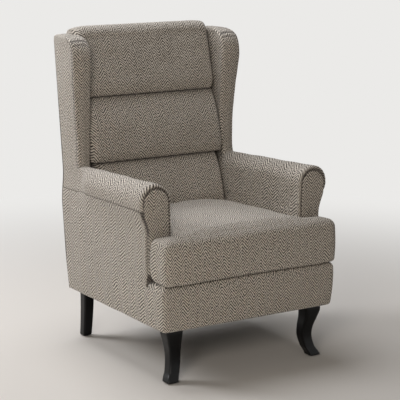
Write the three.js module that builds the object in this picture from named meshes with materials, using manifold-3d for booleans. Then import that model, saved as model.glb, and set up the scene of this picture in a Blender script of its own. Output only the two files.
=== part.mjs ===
// Fireside wing chair: a hardwood frame on cabriole front legs, with a sprung seat, scrolled and
// padded arms, padded wings, a back of three sewn channels and a loose T-shaped seat cushion.
// Millimetres, +Z up, the front faces -Y. The origin is on the floor under the middle of the chair.
import * as THREE from "three";
import { mergeVertices } from "three/addons/utils/BufferGeometryUtils.js";
import Module from "manifold-3d";

const wasm = await Module();
wasm.setup();

// Overall sizes
const overallWidth = 702;
const overallDepth = 770;
const overallHeight = 1062;
const armHeight = 628;
const legHeight = 175;

// Fits: between pieces that touch, round a bolt, and how far a cutter overruns what it cuts
const fitGap = 0.3;
const cutOverrun = 5;

// Back: how far it leans from foot to top, and the cover on its rear
const backLean = 100;
const outsideBackThickness = 8;
const outsideBackInset = 14;

// Upholstered seat box
const baseHeight = 147;
const armOverhang = 27;
const baseTaper = 13;
const baseSetback = 18;
const baseCorner = 24;
const lipRound = 12;
const sidePadding = 28;
const frontPadding = 22;
const cornerReturn = 12;

// Timber frame
const railThickness = 28;
const uprightDepth = 40;
const uprightDrop = 19;
const postDepth = 46;
const blockReach = 70;
const blockHeight = 60;
const topRailHeight = 44;
const lumbarRailRise = 21.3;
const lumbarRailHeight = 60;

// Arms
const armPadding = 28;
const armFrontSetback = 103;
const armSeamDrop = 160;
const armRollShrink = 8;
const armRollDrop = 13;
const armRollOffset = 3;
const armEdgeRound = 8;
const armNeckWidth = 4;
const armNeckDrop = 66;
const armRailWidth = 40;
const armRailHeight = 25;
const armRailDrop = 93;
const facingThickness = 9.7;
const facingInset = 7;

// Wings
const padRise = 25;
const wingStepOut = 22;
const wingDrawIn = 12;
const wingDepth = 175;
const wingFlare = 22;
const wingNip = 6;
const wingFrameThickness = 18;
const wingPadding = 22;
const wingEdgeRound = 9;
const wingFootDrop = 38;
const wingFlareRise = 32;
const wingFlareLevel = 77;

// Back pad
const padDepth = 228;
const padTopDepth = 65.3;
const padSideGap = 2;
const padLeanDrop = 13;
const middleSeamDrop = 17;
const channelCrown = 12;
const channelBow = 2;
const channelSeamDepth = 9;
const channelRise = 45;
const channelFall = 110;
const channelSideRound = 24;
const channelEndDraw = 4;
const padTopTurn = 34;
const padCornerWidth = 49;
const padCornerFall = 26;
const padOverhangInset = 1;
const outsideBackDrop = 5;
const webbingWidth = 60;
const webbingThickness = 2.5;

// Seat suspension
const springWire = 3.8;
const springPitch = 80;
const springReach = 46;
const springSideRoom = 84;
const springCount = 5;
const deckThickness = 26;
const deckProud = 1.7;
const dustCoverThickness = 1.3;
const dustCoverInset = 4;
const dustCoverRelief = 2;

// Loose seat cushion
const cushionEarInset = 1;
const cushionSideGap = 2;
const cushionEarGap = 2;
const cushionRearGap = 5;
const cushionHeight = 141;
const cushionFall = 18;
const cushionCrown = 22;
const cushionEdgeRound = 12;
const cushionDraw = 5;
const coverThickness = 2.5;
const zipMargin = 38;
const zipHeight = 26;
const zipRise = 52;
const tapeThickness = 1.6;
const tapeSetIn = 0.6;
const sliderLength = 10;
const sliderHeight = 11;
const sliderThickness = 3.2;
const pullLength = 22;
const pullWidth = 5;
const pullThickness = 1.4;
const sliderEndRoom = 10;

// Legs
const legInset = 7;
const legEdge = 3;
const frontLegTop = 53;
const frontLegAnkle = 29;
const frontLegSweep = 12.7;
const rearLegTop = 38;
const rearLegFoot = 32;
const rearLegRake = 15;
const rearLegSetIn = 8;
const rearLegMargin = 2;
const glideHeight = 4;
const glideRadius = 10;
const boltRadius = 4;
const boltLength = 75;
const boltInLeg = 30;
const frontBoltSetIn = 12;
const rearBoltSetIn = 5;

// Shares of a height, a length or a width, and how finely the curves are cut
const stuffedPower = 2;
const roundShare = 0.3;
const rodSides = 16;
const cornerSteps = 5;
const turnSteps = 5;
// Height of the front leg, outward sweep and swell of its section
const frontLegShares = [
  [0, 0.9, 0.3],
  [0.162, -0.31, 0],
  [0.367, -1, 0.05],
  [0.555, -0.87, 0.1],
  [0.76, -0.13, 0.52],
  [0.93, 0.24, 1.05],
  [1, 0, 1],
];
const frontLegSteps = 14;
const rearLegSteps = 4;
const sideLevelShares = [0, 0.25, 0.5, 0.75, 1];
// Height of the lip over the seat box and the share of its edge round
const lipShares = [
  [0, 0],
  [0.5, 0],
  [0.85, 0.35],
  [1, 1],
];
const springSides = 5;
const springStepsPerBend = 3;
const upperSeamShare = 0.479;
const lowerWebbingShare = 0.7;
const upperWebbingShares = [0.11, 0.525];
const armRollSteps = 14;
const armRollTurnShare = 1.289;
const armLengthShares = [0.5, 1];
// Height of the wing above its foot and the share of its depth
const wingEdgeShares = [
  [0, 0.732],
  [0.067, 0.7],
  [0.246, 0.74],
  [0.47, 0.815],
  [0.649, 0.915],
  [0.805, 0.99],
  [0.884, 1],
  [0.94, 0.955],
  [0.978, 0.85],
  [1, 0.66],
];
const wingEdgeSteps = 20;
const wingRearShares = [0.7, 0.45, 0.2, 0.1];
const outsideBackShares = [0, 0.06, 0.171, 0.342, 0.413, 0.484, 1];
const channelWidthShares = [0, 0.35, 0.62, 0.78, 0.86, 0.92, 0.96, 0.985, 1];
const channelRiseShares = [0, 0.02, 0.06, 0.12, 0.2, 0.35, 0.55, 0.72, 0.85, 0.93, 0.98, 1];
const crownReachShare = 0.25;
const crownRearShare = 0.2;
const crestShare = 0.45;
const bodyColumnShares = [0.2, 0.4, 0.6, 0.78, 0.9, 1];
const earColumnShares = [0.3, 0.65, 0.88, 1];
const earRowShares = [0, 0.12, 0.35, 0.65, 0.88, 1];
const bodyRowShares = [0.08, 0.2, 0.35, 0.5, 0.65, 0.8, 0.92, 1];
// Height of the cushion's wall and the share of its edge round
const cushionWallShares = [
  [0, 0.5],
  [0.08, 1],
  [0.88, 1],
  [0.96, 0.75],
];

// Places that follow from the sizes above
const frontY = -overallDepth / 2;
const rearY = overallDepth / 2;
const wingTop = overallHeight - padRise;
const baseWidth = overallWidth - 2 * armOverhang;
const baseTop = legHeight + baseHeight;
const baseFrontY = frontY + baseSetback;
const frameHalf = baseWidth / 2 - sidePadding;
const frameFrontY = baseFrontY + frontPadding;
const frameFoot = legHeight + fitGap;
const railInner = frameHalf - railThickness;
const deckTop = baseTop + deckProud;
const deckFoot = deckTop - deckThickness;
const springHeight = deckFoot - fitGap - springWire / 2;
const railTop = springHeight - springWire / 2 - fitGap;
const uprightTop = wingTop - uprightDrop;
const lumbarRailFoot = deckTop + lumbarRailRise;
const armFrontY = frontY + armFrontSetback;
const armPadFrontY = armFrontY + facingThickness + fitGap;
const armInner = railInner - armPadding;
const armRollRadius = (overallWidth / 2 - armInner - armRollOffset) / 2;
const armRollHeight = armHeight - armRollRadius;
const armRailFoot = armHeight - armRailDrop;
const armPostTop = armRailFoot - fitGap;
const armRailTop = armRailFoot + armRailHeight;
const armSeamHeight = armHeight - armSeamDrop;
const armSeamX = baseWidth / 2;
const wingInner = armInner + wingStepOut;
const wingOuter = baseWidth / 2 - wingDrawIn;
const wingFoot = armHeight - wingFootDrop;
const wingFlareFoot = armHeight + wingFlareRise;
const padHalf = wingInner - padSideGap;
const padFrontY = rearY - padDepth;
const padLeanStart = armSeamHeight - padLeanDrop;
const middleSeamHeight = armHeight - middleSeamDrop;
const upperSeamHeight = middleSeamHeight + (overallHeight - middleSeamHeight) * upperSeamShare;
const cushionHalf = baseWidth / 2 - cushionEarInset;
const cushionBodyHalf = armInner - cushionSideGap;
const cushionEarRear = armFrontY - cushionEarGap;
const cushionRear = padFrontY - channelCrown - channelBow - cushionRearGap;

// Materials
const weave = new THREE.MeshStandardMaterial({ color: 0x9a9184, roughness: 0.95, metalness: 0 });
const hardwood = new THREE.MeshStandardMaterial({ color: 0xc29a6b, roughness: 0.7, metalness: 0 });
const blackLacquer = new THREE.MeshStandardMaterial({ color: 0x17171a, roughness: 0.35, metalness: 0 });
const springSteel = new THREE.MeshStandardMaterial({ color: 0x8d9094, roughness: 0.4, metalness: 1 });
const webbingCloth = new THREE.MeshStandardMaterial({ color: 0x4a4a48, roughness: 0.9, metalness: 0 });
const foam = new THREE.MeshStandardMaterial({ color: 0xe6dfc8, roughness: 0.95, metalness: 0 });
const nylon = new THREE.MeshStandardMaterial({ color: 0x2a2a2a, roughness: 0.6, metalness: 0 });
const zincSteel = new THREE.MeshStandardMaterial({ color: 0xb4b6b8, roughness: 0.35, metalness: 1 });
const blackCambric = new THREE.MeshStandardMaterial({ color: 0x1f1f20, roughness: 1, metalness: 0 });

const chair = new THREE.Group();

const mix = (a, b, t) => a + (b - a) * t;
const clamp = (t) => Math.min(1, Math.max(0, t));
const smooth = (t) => clamp(t) ** 2 * (3 - 2 * clamp(t));
const range = (count) => Array.from({ length: count }, (_, i) => i);

// Adds one named piece, moved to its place when one is given.
function place(name, geometry, material, position = [0, 0, 0]) {
  const mesh = new THREE.Mesh(geometry, material.clone());
  mesh.name = name;
  mesh.position.set(...position);
  chair.add(mesh);
}

// A closed surface kept by position alone, with its faces turned outwards.
function closed(geometry) {
  const bare = new THREE.BufferGeometry();
  bare.setAttribute("position", geometry.getAttribute("position"));
  bare.setIndex(geometry.getIndex());
  const merged = mergeVertices(bare);
  const p = merged.getAttribute("position");
  const index = merged.getIndex().array;
  const [a, b, c] = range(3).map(() => new THREE.Vector3());
  let volume = 0;
  for (let i = 0; i < index.length; i += 3) {
    [a, b, c].forEach((v, k) => v.fromBufferAttribute(p, index[i + k]));
    volume += a.dot(b.cross(c));
  }
  if (volume < 0) {
    for (let i = 0; i < index.length; i += 3) {
      [index[i + 1], index[i + 2]] = [index[i + 2], index[i + 1]];
    }
  }
  return merged;
}

function toSolid(geometry) {
  const merged = closed(geometry);
  return new wasm.Manifold(
    new wasm.Mesh({
      numProp: 3,
      vertProperties: merged.getAttribute("position").array,
      triVerts: new Uint32Array(merged.getIndex().array),
    }),
  );
}

function fromSolid(made) {
  const mesh = made.getMesh();
  const geometry = new THREE.BufferGeometry();
  geometry.setAttribute("position", new THREE.BufferAttribute(mesh.vertProperties, 3));
  geometry.setIndex(new THREE.BufferAttribute(mesh.triVerts, 1));
  return geometry;
}

function cut(geometry, ...cutters) {
  return fromSolid(cutters.reduce((made, c) => made.subtract(toSolid(c)), toSolid(geometry)));
}

function join(geometry, ...others) {
  return fromSolid(others.reduce((made, o) => made.add(toSolid(o)), toSolid(geometry)));
}

// The same shape on the other side of the chair.
function mirrored(geometry) {
  return closed(geometry.clone().scale(-1, 1, 1));
}

function block([x0, y0, z0], [x1, y1, z1]) {
  return new THREE.BoxGeometry(x1 - x0, y1 - y0, z1 - z0).translate(
    (x0 + x1) / 2,
    (y0 + y1) / 2,
    (z0 + z1) / 2,
  );
}

// Turns a shape's own axes to the given ones, so that it extrudes along the third.
const alongX = new THREE.Matrix4().makeBasis(
  new THREE.Vector3(0, 1, 0),
  new THREE.Vector3(0, 0, 1),
  new THREE.Vector3(1, 0, 0),
);
const againstY = new THREE.Matrix4().makeBasis(
  new THREE.Vector3(1, 0, 0),
  new THREE.Vector3(0, 0, 1),
  new THREE.Vector3(0, -1, 0),
);

function extruded(outline, depth) {
  const shape = new THREE.Shape(outline.map(([u, v]) => new THREE.Vector2(u, v)));
  return new THREE.ExtrudeGeometry(shape, { depth, bevelEnabled: false, steps: 1 });
}

// A bar along X whose section is an outline of [y, z] points.
function barAlongX(outline, x0, x1) {
  return extruded(outline, x1 - x0).applyMatrix4(alongX).translate(x0, 0, 0);
}

// A plate between two planes across Y, from an outline of [x, z] points.
function plateAcrossY(outline, y0, y1) {
  return extruded(outline, y1 - y0).applyMatrix4(againstY).translate(0, y1, 0);
}

// A plate lying flat, from an outline of [x, y] points.
function flatPlate(outline, z0, z1) {
  return extruded(outline, z1 - z0).translate(0, 0, z0);
}

function rod(x, y, z0, z1, radius) {
  const cylinder = new THREE.CylinderGeometry(radius, radius, z1 - z0, rodSides);
  return cylinder.rotateX(Math.PI / 2).translate(x, y, (z0 + z1) / 2);
}

// Triangles across one ring of points, wound the way the ring runs.
function ringCap(ring, axis) {
  const [u, v] = [0, 1, 2].filter((k) => k !== axis);
  const flat = ring.map((p) => new THREE.Vector2(p[u], p[v]));
  const faces = THREE.ShapeUtils.triangulateShape(flat, []);
  const turn = faces.reduce((sum, face) => sum + THREE.ShapeUtils.area(face.map((k) => flat[k])), 0);
  return turn * THREE.ShapeUtils.area(flat) > 0 ? faces : faces.map((face) => face.toReversed());
}

function indexed(points, index) {
  const geometry = new THREE.BufferGeometry();
  geometry.setAttribute("position", new THREE.Float32BufferAttribute(points.flat(), 3));
  geometry.setIndex(index);
  return closed(geometry);
}

// Triangles between two rings of equal length that start at the given vertices.
function ringBand(lower, upper, count) {
  return range(count).flatMap((i) => {
    const j = (i + 1) % count;
    return [lower + i, lower + j, upper + j, lower + i, upper + j, upper + i];
  });
}

// Triangles across a ring of which every point can be seen from its first one.
const fanCap = (ring) => range(ring.length - 2).map((k) => [0, k + 1, k + 2]);

// A body lofted through rings of [x, y, z] points, with its ends flat across the given axis.
function loft(rings, axis, capOf = ringCap) {
  const count = rings[0].length;
  const last = (rings.length - 1) * count;
  const bands = range(rings.length - 1).flatMap((r) => ringBand(r * count, (r + 1) * count, count));
  const start = capOf(rings[0], axis).flatMap((face) => face.toReversed());
  const end = capOf(rings.at(-1), axis).flatMap((face) => face.map((k) => k + last));
  return indexed(rings.flat(), [...bands, ...start, ...end]);
}

// Rises from 0 to 1 over the first unit as the edge of a stuffed shape does.
const stuffed = (t) => (1 - (1 - clamp(t)) ** stuffedPower) ** (1 / stuffedPower);

// The back leans: the rear of the cover, the rear of the timber and the front of the uprights.
const backY = (z) => rearY - (backLean * (wingTop - z)) / (wingTop - legHeight);
const frameRearY = (z) => backY(z) - outsideBackThickness - fitGap;
const uprightFrontY = (z) => frameRearY(z) - uprightDepth;
const padRearY = (z) => uprightFrontY(z) - webbingThickness - 2 * fitGap;

// A bar along X that leans with the back, its rear on the rear of the timber.
function leaningBar(x0, x1, z0, z1, depth, setIn = 0) {
  const rear = (z) => frameRearY(z) - setIn;
  const section = [[rear(z0) - depth, z0], [rear(z0), z0], [rear(z1), z1], [rear(z1) - depth, z1]];
  return barAlongX(section, x0, x1);
}

// The seat box draws in towards its foot.
const baseDraw = (z) => baseTaper * (1 - clamp((z - legHeight) / baseHeight)) ** 2;
const baseHalf = (z) => baseWidth / 2 - baseDraw(z);
const baseFront = (z) => baseFrontY + baseDraw(z);

// The side of the chair above the seat box, where the wing comes in from the line of the arm.
function wingSide(z) {
  return mix(baseWidth / 2, wingOuter, smooth((z - armSeamHeight) / (wingFoot - armSeamHeight)));
}
const outerSide = (z) => (z < armSeamHeight ? baseHalf(z) : wingSide(z));

// Legs

const frontLegX = frameHalf - legInset - frontLegTop / 2;
const frontLegY = frameFrontY + legInset + frontLegTop / 2;
const rearLegX = frameHalf - legInset - rearLegSetIn - rearLegTop / 2;
const rearLegY = frameRearY(frameFoot) - rearLegMargin - rearLegTop / 2;
const rearBoltX = rearLegX - rearBoltSetIn;
const rearBoltY = frameRearY(frameFoot) - railThickness / 2;

// A square with its four edges taken off, round [x, y] at one height.
function squareRing(x, y, z, width) {
  const half = width / 2;
  const flat = half - legEdge;
  const corners = [[half, flat], [flat, half], [-flat, half], [-half, flat]];
  const others = corners.map(([u, v]) => [-u, -v]);
  return [...corners, ...others].map(([u, v]) => [x + u, y + v, z]);
}

// A cabriole leg: its square section swings out at the knee, in at the ankle and out at the foot,
// along the diagonal that points away from the middle of the chair.
function frontLeg() {
  const stations = frontLegShares.map(([h, sweep, swell]) => {
    const z = mix(glideHeight + fitGap, legHeight, h);
    return new THREE.Vector3(sweep * frontLegSweep, mix(frontLegAnkle, frontLegTop, swell), z);
  });
  const rings = new THREE.CatmullRomCurve3(stations).getPoints(frontLegSteps).map((s) => {
    const out = s.x / Math.SQRT2;
    return squareRing(frontLegX + out, frontLegY - out, s.z, s.y);
  });
  return loft(rings, 2);
}

function rearLegCentreY(h) {
  return rearLegY + rearLegRake * (1 - h) ** 2;
}

function rearLeg() {
  const rings = range(rearLegSteps + 1).map((i) => {
    const h = i / rearLegSteps;
    const z = mix(glideHeight + fitGap, legHeight, h);
    return squareRing(rearLegX, rearLegCentreY(h), z, mix(rearLegFoot, rearLegTop, h));
  });
  return loft(rings, 2);
}

// One kind of leg with the glide under it and the bolt in its top, on both sides of the chair.
function addLegKind(end, leg, [boltX, boltY], [footX, footY]) {
  const boltFoot = legHeight - boltInLeg;
  const hole = rod(boltX, boltY, boltFoot - fitGap, legHeight + cutOverrun, boltRadius + fitGap);
  addPair(`${end}_leg`, cut(leg, hole), blackLacquer);
  addPair(`${end}_leg_glide`, rod(footX, footY, 0, glideHeight, glideRadius), nylon);
  addPair(`${end}_leg_bolt`, rod(boltX, boltY, boltFoot, boltFoot + boltLength, boltRadius), zincSteel);
}

// The bore for a leg's bolt in the timber above it.
function boltBore(x, y) {
  return rod(x, y, legHeight, legHeight + boltLength, boltRadius + fitGap);
}

function addLegs() {
  const frontFoot = (frontLegShares[0][1] * frontLegSweep) / Math.SQRT2;
  const frontBolt = [frontLegX - frontBoltSetIn, frontLegY + frontBoltSetIn];
  addLegKind("front", frontLeg(), frontBolt, [frontLegX + frontFoot, frontLegY - frontFoot]);
  addLegKind("rear", rearLeg(), [rearBoltX, rearBoltY], [rearLegX, rearLegCentreY(0)]);
  const cornerX = railInner - fitGap;
  const frontCornerY = frameFrontY + railThickness + fitGap;
  const rearCornerY = frameRearY(frameFoot) - railThickness - fitGap;
  const corners = [[frontCornerY, blockReach], [rearCornerY, -blockReach]];
  const [frontBrace, rearBrace] = corners.map(([y, reach]) => {
    const triangle = [[cornerX, y], [cornerX, y + reach], [cornerX - blockReach, y]];
    return flatPlate(triangle, frameFoot, frameFoot + blockHeight);
  });
  addPair("front_corner_block", cut(frontBrace, boltBore(...frontBolt)), hardwood);
  addPair("rear_corner_block", rearBrace, hardwood);
}

// Frame

function addFrame() {
  const railFront = frameFrontY + railThickness;
  const [foot, top] = [frameFoot, railTop];
  place("front_seat_rail", block([-frameHalf, frameFrontY, foot], [frameHalf, railFront, top]), hardwood);
  const between = railInner - fitGap;
  const rearRail = leaningBar(-between, between, foot, top, railThickness);
  const bores = [-rearBoltX, rearBoltX].map((x) => boltBore(x, rearBoltY));
  place("rear_seat_rail", cut(rearRail, ...bores), hardwood);
  const sideRail = [
    [railFront + fitGap, foot],
    [uprightFrontY(foot) - fitGap, foot],
    [uprightFrontY(top) - fitGap, top],
    [railFront + fitGap, top],
  ];
  addPair("side_seat_rail", barAlongX(sideRail, railInner, frameHalf), hardwood);
  addPair("back_upright", leaningBar(railInner, frameHalf, foot, uprightTop, uprightDepth), hardwood);
  const topRail = leaningBar(-between, between, uprightTop - topRailHeight, uprightTop, railThickness);
  place("back_top_rail", topRail, hardwood);
  const lumbarTop = lumbarRailFoot + lumbarRailHeight;
  const lumbarRail = leaningBar(-between, between, lumbarRailFoot, lumbarTop, railThickness);
  place("back_lumbar_rail", lumbarRail, hardwood);
  const postFront = armPadFrontY + fitGap;
  const postRear = postFront + postDepth;
  const post = block([railInner, postFront, top + fitGap], [frameHalf, postRear, armPostTop]);
  addPair("arm_post", post, hardwood);
  const railRear = uprightFrontY(armRailFoot) - fitGap;
  const railOuter = railInner + armRailWidth;
  const armRail = block([railInner, postFront, armRailFoot], [railOuter, railRear, armRailTop]);
  addPair("arm_top_rail", armRail, hardwood);
}

// The front edge of a wing as [y, z] points, from its foot to its top, set in by a margin.
function wingEdge(margin) {
  const edge = wingEdgeShares.map(([h, d]) => {
    const z = mix(wingFoot, wingTop - margin, h);
    return new THREE.Vector2(backY(z) - wingDepth * d + margin, z);
  });
  return new THREE.SplineCurve(edge).getPoints(wingEdgeSteps).map((p) => [p.x, p.y]);
}

const armRearY = backY(wingFoot) - wingDepth * wingEdgeShares[0][1] - fitGap;

function wingFrameOutline(margin) {
  const foot = armRailTop + fitGap;
  const edge = wingEdge(margin);
  const top = edge.at(-1)[1];
  const lap = wingPadding - margin;
  return [
    [uprightFrontY(foot) - fitGap + lap, foot - lap],
    [armRearY + wingPadding - lap, foot - lap],
    ...edge,
    [uprightFrontY(top) - fitGap + lap, top],
  ];
}

function wingFrame(margin, sideGap) {
  const outer = frameHalf + sideGap;
  return barAlongX(wingFrameOutline(margin), outer - wingFrameThickness - 2 * sideGap, outer);
}

// How far a wing flares outwards at a point of its side, after drawing in a little over the arm.
function flareAt(y, z) {
  const rise = smooth((z - wingFlareFoot) / (wingTop - wingFlareFoot - wingFlareLevel));
  return (wingFlare * rise - wingNip) * clamp((backY(z) - y) / wingDepth);
}

function wingRing({ x, margin, outer }) {
  const edge = wingEdge(margin);
  const foot = armSeamHeight;
  const outline = [
    [frameRearY(foot), foot],
    [armRearY + fitGap, foot],
    ...edge,
    [frameRearY(edge.at(-1)[1]), edge.at(-1)[1]],
    ...wingRearShares.map((share) => mix(foot, wingTop, share)).map((z) => [frameRearY(z), z]),
  ];
  return outline.map(([y, z]) => [mix(wingInner, wingSide(z) + flareAt(y, z), outer) + x, y, z]);
}

function wingPad() {
  const round = wingEdgeRound;
  const rings = [
    { x: 0, margin: round, outer: 0 },
    { x: round * roundShare, margin: round * roundShare, outer: 0 },
    { x: round, margin: 0, outer: 0 },
    { x: -round, margin: 0, outer: 1 },
    { x: -round * roundShare, margin: round * roundShare, outer: 1 },
    { x: 0, margin: round, outer: 1 },
  ].map(wingRing);
  const uprightRoom = leaningBar(
    wingInner - cutOverrun,
    frameHalf + fitGap,
    armSeamHeight - cutOverrun,
    uprightTop + fitGap,
    uprightDepth + webbingThickness + 3 * fitGap + cutOverrun,
    -cutOverrun,
  );
  const armRailRoom = block(
    [railInner - fitGap, armRearY - cutOverrun, armRailFoot - fitGap],
    [railInner + armRailWidth + fitGap, uprightFrontY(armRailFoot) + cutOverrun, armRailTop + fitGap],
  );
  return cut(loft(rings, 0), uprightRoom, armRailRoom, wingFrame(wingPadding - fitGap, fitGap));
}

// The outside of an arm's section as [x, z] points, from the foot of its inner face, over the roll
// and in under it to the outer seam. It is set in by a margin, and t runs from 0 at the front to 1
// at the wing, where the roll is smaller.
function armOutline(margin, foot, t) {
  const radius = armRollRadius - armRollShrink * t;
  const centreX = armInner + armRollOffset + radius;
  const centreZ = armRollHeight - armRollDrop * t;
  const roll = range(armRollSteps + 1).map((i) => {
    const angle = Math.PI * (1 - (armRollTurnShare * i) / armRollSteps);
    return [centreX + (radius - margin) * Math.cos(angle), centreZ + (radius - margin) * Math.sin(angle)];
  });
  return [
    [armInner + margin, foot],
    [armInner + margin + armRollOffset / 2, armSeamHeight],
    ...roll,
    [armSeamX + armNeckWidth - margin, armRollHeight - armNeckDrop],
    [armSeamX - margin, armSeamHeight],
  ];
}

function armPad() {
  const inner = railInner - fitGap;
  const outer = frameHalf + fitGap;
  const railOuter = railInner + armRailWidth + fitGap;
  const hollow = [
    [outer, armSeamHeight],
    [outer, armRailFoot - fitGap],
    [railOuter, armRailFoot - fitGap],
    [railOuter, armRailTop + fitGap],
    [inner, armRailTop + fitGap],
    [inner, deckFoot],
  ];
  const length = armRearY - armPadFrontY;
  const stations = [
    { y: 0, margin: armEdgeRound },
    { y: armEdgeRound * roundShare, margin: armEdgeRound * roundShare },
    { y: armEdgeRound, margin: 0 },
    ...armLengthShares.map((share) => ({ y: length * share, margin: 0 })),
  ];
  const rings = stations.map(({ y, margin }) =>
    [...armOutline(margin, deckFoot, y / length), ...hollow].map(([x, z]) => [x, armPadFrontY + y, z]),
  );
  return loft(rings, 1);
}

function armFacing() {
  const outline = armOutline(facingInset, baseTop + fitGap, 0);
  outline.push([armSeamX - facingInset - armNeckWidth / 2, baseTop + fitGap]);
  return plateAcrossY(outline, armFrontY, armFrontY + facingThickness);
}

// Seat box covers

const cornerReturnX = frameHalf - cornerReturn;
const coverTop = deckFoot - fitGap;

// A quarter round at the front corner of the seat box as [x, y] points.
function frontCorner(half, front, radius) {
  return range(cornerSteps + 1).map((i) => {
    const angle = (-Math.PI / 2) * (1 - i / cornerSteps);
    return [half - radius + radius * Math.cos(angle), front + radius + radius * Math.sin(angle)];
  });
}

// The side cover: it wraps round the front corner below the seat, and rises behind it to the arm.
function outsideArmPanel() {
  const inner = frameHalf + fitGap;
  const rings = sideLevelShares.map((share) => {
    const z = mix(frameFoot, coverTop, share);
    const outline = [
      [inner, frameRearY(z)],
      [inner, frameFrontY - fitGap],
      [cornerReturnX, frameFrontY - fitGap],
      [cornerReturnX, baseFront(z)],
      ...frontCorner(baseHalf(z), baseFront(z), baseCorner - baseDraw(z)),
      [baseHalf(z), frameRearY(z)],
    ];
    return outline.map(([x, y]) => [x, y, z]);
  });
  const [low, high] = [railTop, armSeamHeight - fitGap];
  const section = [
    [inner, low],
    [baseHalf(low), low],
    [baseHalf(baseTop), baseTop],
    [armSeamX, high],
    [inner, high],
  ];
  const upper = [() => armPadFrontY, frameRearY].map((yAt) => section.map(([x, z]) => [x, yAt(z), z]));
  return join(loft(rings, 2), loft(upper, 1));
}

function addSeatBox() {
  addPair("outside_arm_panel", outsideArmPanel(), weave);
  const half = cornerReturnX - fitGap;
  const levels = sideLevelShares.map((share) => mix(frameFoot, coverTop, share));
  const section = [
    [frameFrontY - fitGap, coverTop],
    [frameFrontY - fitGap, frameFoot],
    ...levels.map((z) => [baseFront(z), z]),
  ];
  place("front_rail_pad", barAlongX(section, -half, half), weave);
  const lipRings = lipShares.map(([height, inset]) => {
    const z = mix(deckFoot, baseTop, height);
    const half = baseWidth / 2 - lipRound * inset;
    const corner = frontCorner(half, baseFrontY + lipRound * inset, baseCorner);
    const right = [...corner, [half, armPadFrontY - fitGap]];
    const left = right.toReversed().map(([x, y]) => [-x, y]);
    return [...right, ...left].map(([x, y]) => [x, y, z]);
  });
  place("front_lip_pad", loft(lipRings, 2), weave);
}

function addSuspension() {
  const startY = frameFrontY + railThickness / 2;
  const endY = frameRearY(railTop) - railThickness / 2;
  const bends = 2 * Math.round((endY - startY) / springPitch);
  const section = new THREE.Shape(
    range(springSides).map((i) => {
      const angle = (2 * Math.PI * i) / springSides;
      return new THREE.Vector2(Math.cos(angle), Math.sin(angle)).multiplyScalar(springWire / 2);
    }),
  );
  const outerSpring = railInner - springSideRoom;
  range(springCount).forEach((s) => {
    const x = mix(-outerSpring, outerSpring, s / (springCount - 1));
    const route = range(bends + 1).map((i) => {
      const side = i % 2 ? springReach / 2 : -springReach / 2;
      return new THREE.Vector3(x + side, mix(startY, endY, i / bends), springHeight);
    });
    const extrudePath = new THREE.CatmullRomCurve3(route);
    const steps = bends * springStepsPerBend;
    const spring = new THREE.ExtrudeGeometry(section, { steps, bevelEnabled: false, extrudePath });
    place(`seat_spring_${s + 1}`, spring, springSteel);
  });
  const half = armInner - fitGap;
  const deckRear = uprightFrontY(deckFoot) - fitGap;
  place("seat_deck_pad", block([-half, armPadFrontY, deckFoot], [half, deckRear, deckTop]), foam);
  const strapHalf = frameHalf - wingFrameThickness - fitGap;
  const lowerStrap = mix(deckTop, armRailFoot - webbingWidth, lowerWebbingShare);
  const upperStraps = upperWebbingShares.map((share) => mix(armRailTop, uprightTop, share));
  [lowerStrap, ...upperStraps].forEach((z, i) => {
    const front = uprightDepth + fitGap;
    const strap = leaningBar(-strapHalf, strapHalf, z, z + webbingWidth, webbingThickness, front);
    place(`back_webbing_${i + 1}`, strap, webbingCloth);
  });
  place("dust_cover", dustCover(), blackCambric);
}

// A thin cloth under the frame, cut away round the four legs.
function dustCover() {
  const half = frameHalf - dustCoverInset;
  const frontLegHalf = frontLegX - frontLegTop / 2 - dustCoverRelief;
  const rearLegHalf = rearLegX - rearLegTop / 2 - dustCoverRelief;
  const frontLegRear = frontLegY + frontLegTop / 2 + dustCoverRelief;
  const rearLegFront = rearLegY - rearLegTop / 2 - dustCoverRelief;
  const right = [
    [frontLegHalf, frameFrontY + dustCoverInset],
    [frontLegHalf, frontLegRear],
    [half, frontLegRear],
    [half, rearLegFront],
    [rearLegHalf, rearLegFront],
    [rearLegHalf, frameRearY(frameFoot) - dustCoverInset],
  ];
  const left = right.toReversed().map(([x, y]) => [-x, y]);
  return flatPlate([...right, ...left], legHeight - dustCoverThickness, legHeight);
}

// Back

const padLean = (padDepth - padTopDepth) / (overallHeight - padLeanStart);
const padLine = (z) => padFrontY + padLean * Math.max(0, z - padLeanStart);

// The front of a channel as [y, z] points: it swells from the seam below it towards the seam above.
function channelFront(low, high, fall, swellBelow) {
  return channelRiseShares.map((share) => {
    const z = mix(low, high, share);
    const swell = stuffed((z - low) / channelRise) * swellBelow(z);
    const bow = channelBow * (1 - (2 * share - 1) ** 2);
    return [padLine(z) + channelSeamDepth - (channelSeamDepth + channelCrown) * swell - bow + fall, z];
  });
}

// Cross sections of a channel from side to side, given its half width and what draws one section.
function channelBody(half, sectionAt) {
  const sides = channelWidthShares.slice(1).toReversed().map((share) => -share);
  const rings = [...sides, ...channelWidthShares].map((across) => {
    const fromSide = half * (1 - Math.abs(across));
    const flat = 1 - stuffed(fromSide / channelSideRound);
    const section = sectionAt(fromSide, channelSideRound * flat, channelEndDraw * flat);
    return section.map(([y, z]) => [across * half, y, z]);
  });
  return loft(rings, 0, fanCap);
}

// A channel between two sewn seams.
function sewnChannel(half, foot, top) {
  return channelBody(half, (fromSide, fall, draw) => {
    const [low, high] = [foot + draw, top - draw];
    const front = channelFront(low, high, fall, (z) => stuffed((high - z) / channelFall));
    return [[padRearY(high), high], [padRearY(low), low], ...front];
  });
}

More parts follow.
